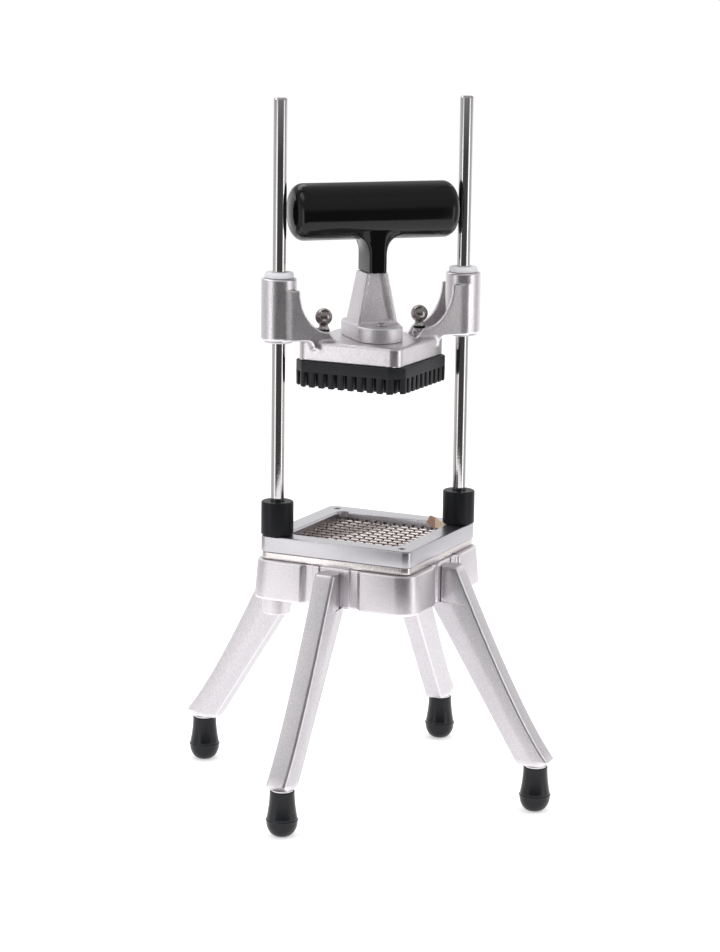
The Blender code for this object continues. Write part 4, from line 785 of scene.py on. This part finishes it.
# Surface net of a field: one vertex in each cell that the surface crosses, at the mean of its
# edge crossings, then moved along the gradient onto the surface, P = P - f g / |g|^2, and one
# quad round each grid edge whose ends differ in sign
def surfaceNet(field, low, high, pitch):
    axes = [np.arange(start, end + pitch, pitch) for start, end in zip(low, high)]
    values = field(axes[0][:, None, None], axes[1][None, :, None], axes[2][None, None, :])
    cells = np.array(values.shape) - 1
    total = np.zeros((cells.prod(), 3))
    count = np.zeros(cells.prod())
    around = []
    for axis in range(3):
        first = values[tuple(slice(0, -1) if k == axis else slice(None) for k in range(3))]
        second = values[tuple(slice(1, None) if k == axis else slice(None) for k in range(3))]
        where = np.argwhere((first < 0) != (second < 0))
        spot = tuple(where.T)
        point = where.astype(float)
        point[:, axis] += first[spot] / (first[spot] - second[spot])
        u, v = [k for k in range(3) if k != axis]
        corners = []
        for stepU, stepV in ((0, 0), (1, 0), (1, 1), (0, 1)):
            cell = where.copy()
            cell[:, u] -= stepU
            cell[:, v] -= stepV
            flat = np.ravel_multi_index(tuple(cell.T), cells)
            total += np.stack([np.bincount(flat, point[:, k], len(count)) for k in range(3)], axis=1)
            count += np.bincount(flat, minlength=len(count))
            corners.append(flat)
        around.append(np.stack(corners, axis=1))
    used = np.flatnonzero(count)
    number = np.zeros(len(count), int)
    number[used] = np.arange(len(used))
    points = np.array([axis[0] for axis in axes]) + pitch * total[used] / count[used, None]
    tiny = 0.02 * pitch
    for _ in range(3):
        here = field(*points.T)
        slope = np.stack([field(*(points + tiny * np.eye(3)[k]).T) - here for k in range(3)],
                         axis=1) / tiny
        steep = np.maximum((slope ** 2).sum(1), 0.3)
        move = (here / steep)[:, None] * slope
        points = points - np.clip(move, -0.5 * pitch, 0.5 * pitch)
    return points, number[np.concatenate(around)]


headReach = rod["reach"] + head["sleeve"] + 2 * head["pitch"]
headPoints, headFaces = surfaceNet(
    headField, (-headReach, -60 * mm, head["plateBottom"] - 2 * head["pitch"]),
    (headReach, 60 * mm, head["sleeveTop"] + 2 * head["pitch"]), head["pitch"])
finishPiece("pusherHead", headPoints, headFaces.tolist(), finish["castAluminium"], "pusher",
            ["pusher_head"], 50, 14)
print("pusher head:", len(headFaces), "quads")


stem = sized(bottom=360, footTop=371.5, footRadius=17.8, footReach=35.8, top=411, lowX=16.8,
             lowY=14, highX=9, highY=12, corner=1.6, recess=4, rib=3.4, recessFoot=2.2,
             fillet=2.2)
grip = sized(height=458.3, radius=22, half=67, endRadius=9, crown=1.5, neckX=7, neckY=15.8,
             neckCorner=3.5, neckBottom=411.3, flareX=15, flareY=1.6, flareRise=17)


# The column: a rounded rectangle that narrows with height, flares at its foot by a quarter
# round, and is pressed in by smooth steps on its front and back, y = y0 - depth * in(x) * in(z)
def stemColumn():
    v = stem
    height = v["top"] - v["footTop"]
    z = np.concatenate([v["footTop"] + v["fillet"] * (1 - np.cos(np.linspace(0, pi / 2, 7))),
                        np.linspace(v["footTop"] + v["fillet"] + 0.2 * mm, v["top"], 70)])
    up = (z - v["footTop"]) / height
    halfX = v["lowX"] + up * (v["highX"] - v["lowX"])
    halfY = v["lowY"] + up * (v["highY"] - v["lowY"])
    lift = np.clip((z - v["footTop"]) / v["fillet"], 0, 1)
    flare = v["fillet"] * (1 - np.sqrt(1 - (1 - lift) ** 2))
    unit = softRectangle(1, 1, 0.12, 7)
    front = np.linspace(-0.88, 0.88, 49)
    side = np.linspace(-0.88, 0.88, 9)[1:-1]
    ring = np.concatenate([
        unit[0:7], np.column_stack([np.ones(7), side]), unit[7:14],
        np.column_stack([-front[1:-1], np.ones(47)]), unit[14:21],
        np.column_stack([-np.ones(7), -side]), unit[21:28],
        np.column_stack([front[1:-1], -np.ones(47)])])
    x, y = ring[:, 0][None] * halfX[:, None], ring[:, 1][None] * halfY[:, None]
    x = x + np.sign(x) * flare[:, None] * np.abs(ring[:, 0])
    y = y + np.sign(y) * flare[:, None] * np.abs(ring[:, 1])
    smooth = lambda t: t * t * (3 - 2 * t)
    inX = smooth(np.clip((halfX[:, None] - v["rib"] - np.abs(x)) / (0.6 * mm) + 0.5, 0, 1))
    inZ = smooth(np.clip((z - v["footTop"] - v["recessFoot"]) / (1.4 * mm), 0, 1))[:, None]
    face = np.clip((np.abs(ring[:, 1]) - 0.86) / 0.1, 0, 1)[None]
    y = y - np.sign(y) * v["recess"] * inX * inZ * face
    return np.stack([x, y, np.broadcast_to(z[:, None], x.shape)], axis=-1)


stemFoot = softRectangle(stem["footRadius"], stem["footReach"], stem["footRadius"] - 0.05 * mm, 24)
footRows = np.concatenate([rim(stem["bottom"], 0.4 * mm, -1), rim(stem["footTop"], 1.3 * mm, 1)])
shellPiece("handleStem", [(carried(stemFoot, footRows), False), (stemColumn(), False)],
           finish["stemAluminiumLit"], "pusher", ["handle_stem"], paintedHighlight=12)


# Bar of the grip: a rounded profile of (r, x) turned about the X axis
def gripBar():
    v = grip
    shoulder = v["half"] - v["crown"] - v["endRadius"]
    a = np.linspace(0, pi / 2, 14)
    arc = np.column_stack([v["radius"] - v["endRadius"] * (1 - np.cos(a)),
                           shoulder + v["endRadius"] * np.sin(a)])
    inner = np.linspace(1, 0, 8)[1:]
    crown = np.column_stack([(v["radius"] - v["endRadius"]) * inner,
                             v["half"] - v["crown"] * inner ** 2])
    half = np.concatenate([arc, crown])
    middle = np.column_stack([np.full(9, v["radius"]), np.linspace(-shoulder, shoulder, 11)[1:-1]])
    profile = np.concatenate([half[::-1] * (1, -1), middle, half])
    turned = lathe(profile, 96)
    return np.stack([turned[..., 2], turned[..., 0], turned[..., 1] + v["height"]], axis=-1)


# Neck of the grip: a rounded rectangle that rises straight and then follows, at each point of
# its outline, the curve (1-t)^2 P + 2 t (1-t) C + t^2 Q onto the bar's underside
def gripNeck():
    v = grip
    outline = softRectangle(v["neckX"], v["neckY"], v["neckCorner"], 12)
    away = mitres(outline)
    landing = outline + away * (v["flareX"], v["flareY"])
    barZ = v["height"] - np.sqrt(v["radius"] ** 2 - landing[:, 1] ** 2)
    start = np.column_stack([outline, barZ - v["flareRise"]])
    control = np.column_stack([outline[:, 0], landing[:, 1], barZ])
    stop = np.column_stack([landing, barZ])
    t = np.linspace(0, 1, 20)[:, None, None]
    curve = (1 - t) ** 2 * start + 2 * t * (1 - t) * control + t ** 2 * stop
    foot = carried(outline, rim(v["neckBottom"], 0.6 * mm, -1))
    inside = stop + np.array([0, 0, 3 * mm])
    return np.concatenate([foot, curve, inside[None]])


shellPiece("handleGrip", [(gripBar(), False), (gripNeck(), False)], finish["glossyBlack"],
           "pusher", ["handle_grip"])
print("handle")


bush = sized(bore=5.55, tube=7.45, flange=11.3, length=16, upperSeat=408.8, upperFace=413.1,
             lowerSeat=360.3, lowerFace=359.1)
upperBush = softCorners([(bush["bore"], bush["upperSeat"] - bush["length"]),
                         (bush["tube"], bush["upperSeat"] - bush["length"]),
                         (bush["tube"], bush["upperSeat"]), (bush["flange"], bush["upperSeat"]),
                         (bush["flange"], bush["upperFace"]), (bush["bore"], bush["upperFace"])],
                        np.array([0.3, 0.3, 0.2, 0.4, 1.9, 0.6]) * mm, 7)
lowerBush = softCorners([(bush["bore"], bush["lowerFace"]), (bush["flange"], bush["lowerFace"]),
                         (bush["flange"], bush["lowerSeat"]), (bush["tube"], bush["lowerSeat"]),
                         (bush["tube"], bush["lowerSeat"] + bush["length"]),
                         (bush["bore"], bush["lowerSeat"] + bush["length"])],
                        np.array([0.3, 0.4, 0.2, 0.2, 0.3, 0.3]) * mm, 5)
for side, place in rodPlaces.items():
    shellPiece("bushing_" + side + "_top", [(lathe(upperBush, 72, place), True)],
               finish["whiteNylon"], "pusher", ["bushing_" + side + "_upper"])
    shellPiece("bushing_" + side + "_foot", [(lathe(lowerBush, 72, place), True)],
               finish["whiteNylon"], "pusher", ["bushing_" + side + "_lower"])
print("bushings")


pin = sized(reach=39.2, shaft=2, barrel=5.2, thread=4.2, bore=3.1, foot=346.5, seat=360,
            collarTop=366, ceiling=362, ringTop=367.4, ringBottom=366.3, ring=4.9,
            knobBottom=367.7, skirt=4.6, neck=3.3, ball=6.7, centre=377.2,
            collarDown=(1.7, 1.3), collarIn=(0.9, 0.5), barrelEdge=0.28, ringEdge=0.35,
            skirtHeight=2.6, skirtRow=0.8, skirtTaper=0.1, knobInside=0.3,
            skirtEdges=(0.2, 0.3, 0.35, 0.2, 0.2))
barrelShape = softCorners([(pin["bore"], pin["foot"]), (pin["thread"], pin["foot"]),
                           (pin["thread"], pin["seat"]), (pin["barrel"], pin["seat"]),
                           (pin["barrel"], pin["collarTop"] - pin["collarDown"][0]),
                           (pin["barrel"] - pin["collarIn"][0],
                            pin["collarTop"] - pin["collarDown"][1]),
                           (pin["barrel"] - pin["collarIn"][1], pin["collarTop"]),
                           (pin["shaft"], pin["collarTop"]), (pin["shaft"], pin["ceiling"]),
                           (pin["bore"], pin["ceiling"])], pin["barrelEdge"], 5)
ringShape = softCorners([(pin["shaft"], pin["ringBottom"]), (pin["ring"], pin["ringBottom"]),
                         (pin["ring"], pin["ringTop"]), (pin["shaft"], pin["ringTop"])],
                        pin["ringEdge"], 6)
skirtTop = pin["knobBottom"] + pin["skirtHeight"]
skirtShape = softCorners([(pin["shaft"], pin["knobBottom"]), (pin["skirt"], pin["knobBottom"]),
                          (pin["skirt"] - pin["skirtTaper"], pin["knobBottom"] + pin["skirtRow"]),
                          (pin["neck"] + pin["skirtTaper"], skirtTop), (pin["shaft"], skirtTop)],
                         pin["skirtEdges"], 6)
ballAngle = np.linspace(np.arcsin(pin["neck"] / pin["ball"]), pi, 30)
ball = np.column_stack([pin["ball"] * np.sin(ballAngle),
                        pin["centre"] - pin["ball"] * np.cos(ballAngle)])
ballShape = np.concatenate([[(pin["shaft"], skirtTop), (pin["neck"], skirtTop)], ball,
                            [(across, pin["centre"] + pin["knobInside"])
                             for across in (0, pin["shaft"])]])
for side, x in (("left", -pin["reach"]), ("right", pin["reach"])):
    place = (x, 0, 0)
    shellPiece("pinBarrel_" + side, [(lathe(barrelShape, 56, place), True)],
               finish["polishedSteel"], "pusher", ["pin_barrel_" + side])
    shellPiece("pinRing_" + side, [(lathe(ringShape, 56, place), True)],
               finish["blackRubber"], "pusher", ["pin_ring_" + side])
    shellPiece("ballKnob_" + side, [(lathe(ballShape, 64, place), True)],
               finish["gunmetal"], side + "_pin", ["ball_knob_" + side])
    shellPiece("knobSkirt_" + side, [(lathe(skirtShape, 64, place), True)],
               finish["polishedSteel"], side + "_pin")
print("pull pins")

stemScrew = sized(reach=21.2, seat=371.8, radius=4.2, height=2.8, crossHalf=0.6, crossReach=2.3,
                  deep=1.5, tip=349.7, shank=2.2)


# A pan head whose domed top is pressed in by a cross: z = dome(r) - deep * cross(x, y)
def crossScrew(place):
    v = stemScrew
    out = np.linspace(0, 1, 22)
    dome = np.column_stack([v["radius"] * np.sin(out * pi / 2) ** 0.9,
                            v["seat"] + v["height"] * (0.35 + 0.65 * np.cos(out * pi / 2))])
    under = [(v["radius"] - 0.1 * mm, v["seat"]), (v["shank"], v["seat"]), (v["shank"], v["tip"]),
             (0, v["tip"])]
    grid = lathe(np.concatenate([dome, under]), 80)
    x, y = np.abs(grid[:22, :, 0]), np.abs(grid[:22, :, 1])
    soft = 0.25 * mm
    arm = lambda p, q: (np.clip((v["crossHalf"] - p) / soft + 0.5, 0, 1)
                        * np.clip((v["crossReach"] - q) / soft + 0.5, 0, 1))
    grid[:22, :, 2] -= v["deep"] * np.maximum(arm(x, y), arm(y, x)) * (1 - 0.3 * x / v["radius"])
    return placed(grid, 0.5, place)


for side, y in (("front", -stemScrew["reach"]), ("back", stemScrew["reach"])):
    shellPiece("stemScrew_" + side, [(crossScrew((0, y, 0)), False)], finish["polishedSteel"],
               "pusher", ["stem_screw_" + side])
print("stem screws")


view = {"azimuth": -19.7869, "elevation": 11.3187, "roll": 0.8288, "distance": 2.2304,
        "aim": (0.0003, 0.26), "focal": 2855.9065, "middle": (370.0078, 463.6335),
        "size": (720, 952)}


# The camera looks along (-sin a cos e, cos a cos e, -sin e), rolled about that line
def makeCamera():
    a, e, roll = (radians(view[key]) for key in ("azimuth", "elevation", "roll"))
    ahead = Vector((-sin(a) * cos(e), cos(a) * cos(e), -sin(e)))
    level = Vector((cos(a), sin(a), 0))
    upright = level.cross(ahead)
    right = level * cos(roll) + upright * sin(roll)
    up = upright * cos(roll) - level * sin(roll)
    aim = level * view["aim"][0] + Vector((0, 0, view["aim"][1]))
    lens = bpy.data.cameras.new("camera")
    wide, tall = view["size"]
    lens.sensor_width = 36
    lens.lens = view["focal"] / tall * lens.sensor_width
    lens.shift_x = (wide / 2 - view["middle"][0]) / tall
    lens.shift_y = (view["middle"][1] - tall / 2) / tall
    lens.clip_end = 50
    camera = bpy.data.objects.new("camera", lens)
    bpy.context.scene.collection.objects.link(camera)
    turn = Matrix((right, up, -ahead)).transposed().to_4x4()
    camera.matrix_world = Matrix.Translation(aim - ahead * view["distance"]) @ turn
    bpy.context.scene.camera = camera


# A flat stage panel of a given size, facing a point
def makePanel(name, place, aim, size, colour, glow=0.0):
    mesh = bpy.data.meshes.new(name)
    x, y = size[0] / 2, size[1] / 2
    mesh.from_pydata([(-x, -y, 0), (x, -y, 0), (x, y, 0), (-x, y, 0)], [], [(0, 1, 2, 3)])
    panel = bpy.data.objects.new(name, mesh)
    bpy.context.scene.collection.objects.link(panel)
    panel.location = place
    panel.rotation_mode = "QUATERNION"
    panel.rotation_quaternion = (Vector(aim) - Vector(place)).to_track_quat("Z", "Y")
    made = bpy.data.materials.new(name)
    made.use_nodes = True
    shader = made.node_tree.nodes["Principled BSDF"]
    shader.inputs["Base Color"].default_value = (*colour, 1)
    shader.inputs["Roughness"].default_value = 0.9
    shader.inputs["Specular IOR Level"].default_value = 0.0
    shader.inputs["Emission Color"].default_value = (1, 1, 1, 1)
    shader.inputs["Emission Strength"].default_value = glow
    mesh.materials.append(made)
    return panel


# A soft lamp that lights what isn't a mirror: the tent gives the reflections
def makeLamp(name, place, aim, size, power):
    lamp = bpy.data.lights.new(name, "AREA")
    lamp.shape = "RECTANGLE"
    lamp.size, lamp.size_y = size
    lamp.energy = power
    made = bpy.data.objects.new(name, lamp)
    bpy.context.scene.collection.objects.link(made)
    made.location = place
    made.rotation_mode = "QUATERNION"
    made.rotation_quaternion = (Vector(aim) - Vector(place)).to_track_quat("-Z", "Y")
    made.visible_glossy = False


# White where a camera, glossy or transmitted ray looks, and a plainer light elsewhere
def seenShare(tree):
    path = node(tree, "ShaderNodeLightPath").outputs
    glossy = node(tree, "ShaderNodeMath", {0: path["Is Camera Ray"], 1: path["Is Glossy Ray"]},
                  operation="MAXIMUM").outputs[0]
    return node(tree, "ShaderNodeMath", {0: glossy, 1: path["Is Transmission Ray"]},
                operation="MAXIMUM").outputs[0]


studio = {"skyLight": 0.62, "floorColour": (0.9, 0.9, 0.905), "floorGlow": 0.46, "floorSize": 40,
          "tentRadius": 0.68, "tentWall": 0.72, "tentTop": 1.35, "tentTurn": 109.8,
          "tentStrength": 6.0, "tentAbove": 0.07, "domeFrom": (0.5, 0.66),
          "ringHeights": (0.86, 0.92, 1.12, 1.18),
          "ringShades": ((-180, 0.09), (-172, 0.34), (-60, 0.34), (-46, 0.07), (180, 0.09)),
          "tentShades": ((-180, 0.17), (-150, 0.18), (-128, 0.13), (-74, 0.09), (-66, 0.19),
                         (-54, 0.19), (-52.5, 0.6), (-50.5, 0.6), (-49, 0.14), (-45, 0.12),
                         (-37, 0.013), (47, 0.013), (57, 0.17), (62, 0.2), (63.5, 0.78),
                         (66, 0.78), (67.5, 0.2), (73, 0.18), (82, 0.095), (110, 0.095),
                         (126, 0.19), (180, 0.17))}


# A ramp of greys over an angle from -180 to 180 degrees, given as (degrees, grey)
def ringRamp(tree, share, shades):
    ramp = node(tree, "ShaderNodeValToRGB", {"Fac": share})
    stops = ramp.color_ramp.elements
    for degrees, grey in shades[1:-1]:
        stops.new(0.5 + degrees / 360).color = (grey, grey, grey, 1)
    for stop, grey in ((stops[0], shades[0][1]), (stops[-1], shades[-1][1])):
        stop.color = (grey, grey, grey, 1)
    return ramp.outputs["Color"]


# The tent of soft boxes and dark flats round the object, seen only in reflections: a wall whose
# shade is read from the angle round the object, and a dome whose shade is read from its height
def makeTent():
    v = studio
    rise = np.linspace(0, pi / 2, 12)
    profile = np.concatenate([[(v["tentRadius"], 0.001), (v["tentRadius"], v["tentWall"])],
                              np.column_stack([v["tentRadius"] * np.cos(rise[1:]), v["tentWall"]
                                               + (v["tentTop"] - v["tentWall"]) * np.sin(rise[1:])])])
    grid = lathe(profile, 96)
    rows, columns = grid.shape[:2]
    i, j = np.meshgrid(np.arange(rows - 1), np.arange(columns), indexing="ij")
    beside = (j + 1) % columns
    quads = np.stack([i * columns + j, i * columns + beside, (i + 1) * columns + beside,
                      (i + 1) * columns + j], axis=-1).reshape(-1, 4)
    mesh = bpy.data.meshes.new("tent")
    mesh.from_pydata(grid.reshape(-1, 3), [], quads.tolist())
    tent = bpy.data.objects.new("tent", mesh)
    bpy.context.scene.collection.objects.link(tent)
    made = bpy.data.materials.new("tent")
    made.use_nodes = True
    tree = made.node_tree
    shader = tree.nodes["Principled BSDF"]
    shader.inputs["Base Color"].default_value = (0, 0, 0, 1)
    shader.inputs["Specular IOR Level"].default_value = 0
    place = node(tree, "ShaderNodeTexCoord").outputs["Object"]
    turned = node(tree, "ShaderNodeMapping", {"Vector": place,
                  "Rotation": (0, 0, radians(v["tentTurn"]))}).outputs["Vector"]
    angle = node(tree, "ShaderNodeTexGradient", {"Vector": turned}, gradient_type="RADIAL")
    height = node(tree, "ShaderNodeSeparateXYZ", {"Vector": place}).outputs["Z"]
    wall = ringRamp(tree, angle.outputs["Fac"], v["tentShades"])
    ring = ringRamp(tree, angle.outputs["Fac"], v["ringShades"])
    low, full, thin, high = v["ringHeights"]
    band = node(tree, "ShaderNodeMath", {0: ranged(tree, height, low, full),
                1: ranged(tree, height, high, thin)}, operation="MULTIPLY").outputs[0]
    dome = mixed(tree, band, (v["tentAbove"],) * 3 + (1,), ring)
    shade = mixed(tree, ranged(tree, height, *v["domeFrom"]), wall, dome)
    tree.links.new(shade, shader.inputs["Emission Color"])
    shader.inputs["Emission Strength"].default_value = v["tentStrength"]
    mesh.materials.append(made)
    for seen in ("camera", "diffuse", "shadow", "transmission", "volume_scatter"):
        setattr(tent, "visible_" + seen, False)


# The world and the floor, whose glow makes them white where they are looked at
def makeStudio():
    world = bpy.data.worlds.new("studio")
    bpy.context.scene.world = world
    world.use_nodes = True
    tree = world.node_tree
    sky = tree.nodes["Background"]
    sky.inputs["Color"].default_value = (1, 1, 1, 1)
    tree.links.new(ranged(tree, seenShare(tree), 0, 1, studio["skyLight"], 1.0),
                   sky.inputs["Strength"])
    floor = makePanel("floor", (0, 0, -0.0005), (0, 0, 1), (studio["floorSize"],) * 2,
                      studio["floorColour"])
    tree = floor.data.materials[0].node_tree
    glow = node(tree, "ShaderNodeMath", {0: seenShare(tree), 1: studio["floorGlow"]},
                operation="MULTIPLY").outputs[0]
    tree.links.new(glow, tree.nodes["Principled BSDF"].inputs["Emission Strength"])
    makeTent()
    makeLamp("lampLeft", (-2.2, -1.4, 1.9), (0, 0, 0.25), (1.4, 1.4), 22)
    makeLamp("lampRight", (2.0, -0.6, 1.6), (0, 0, 0.25), (1.2, 1.6), 12)
    makeLamp("lampTop", (0, 0.3, 2.6), (0, 0, 0.2), (1.8, 1.8), 16)


makeCamera()
makeStudio()
bpy.context.scene.view_settings.view_transform = "Standard"
print("studio")
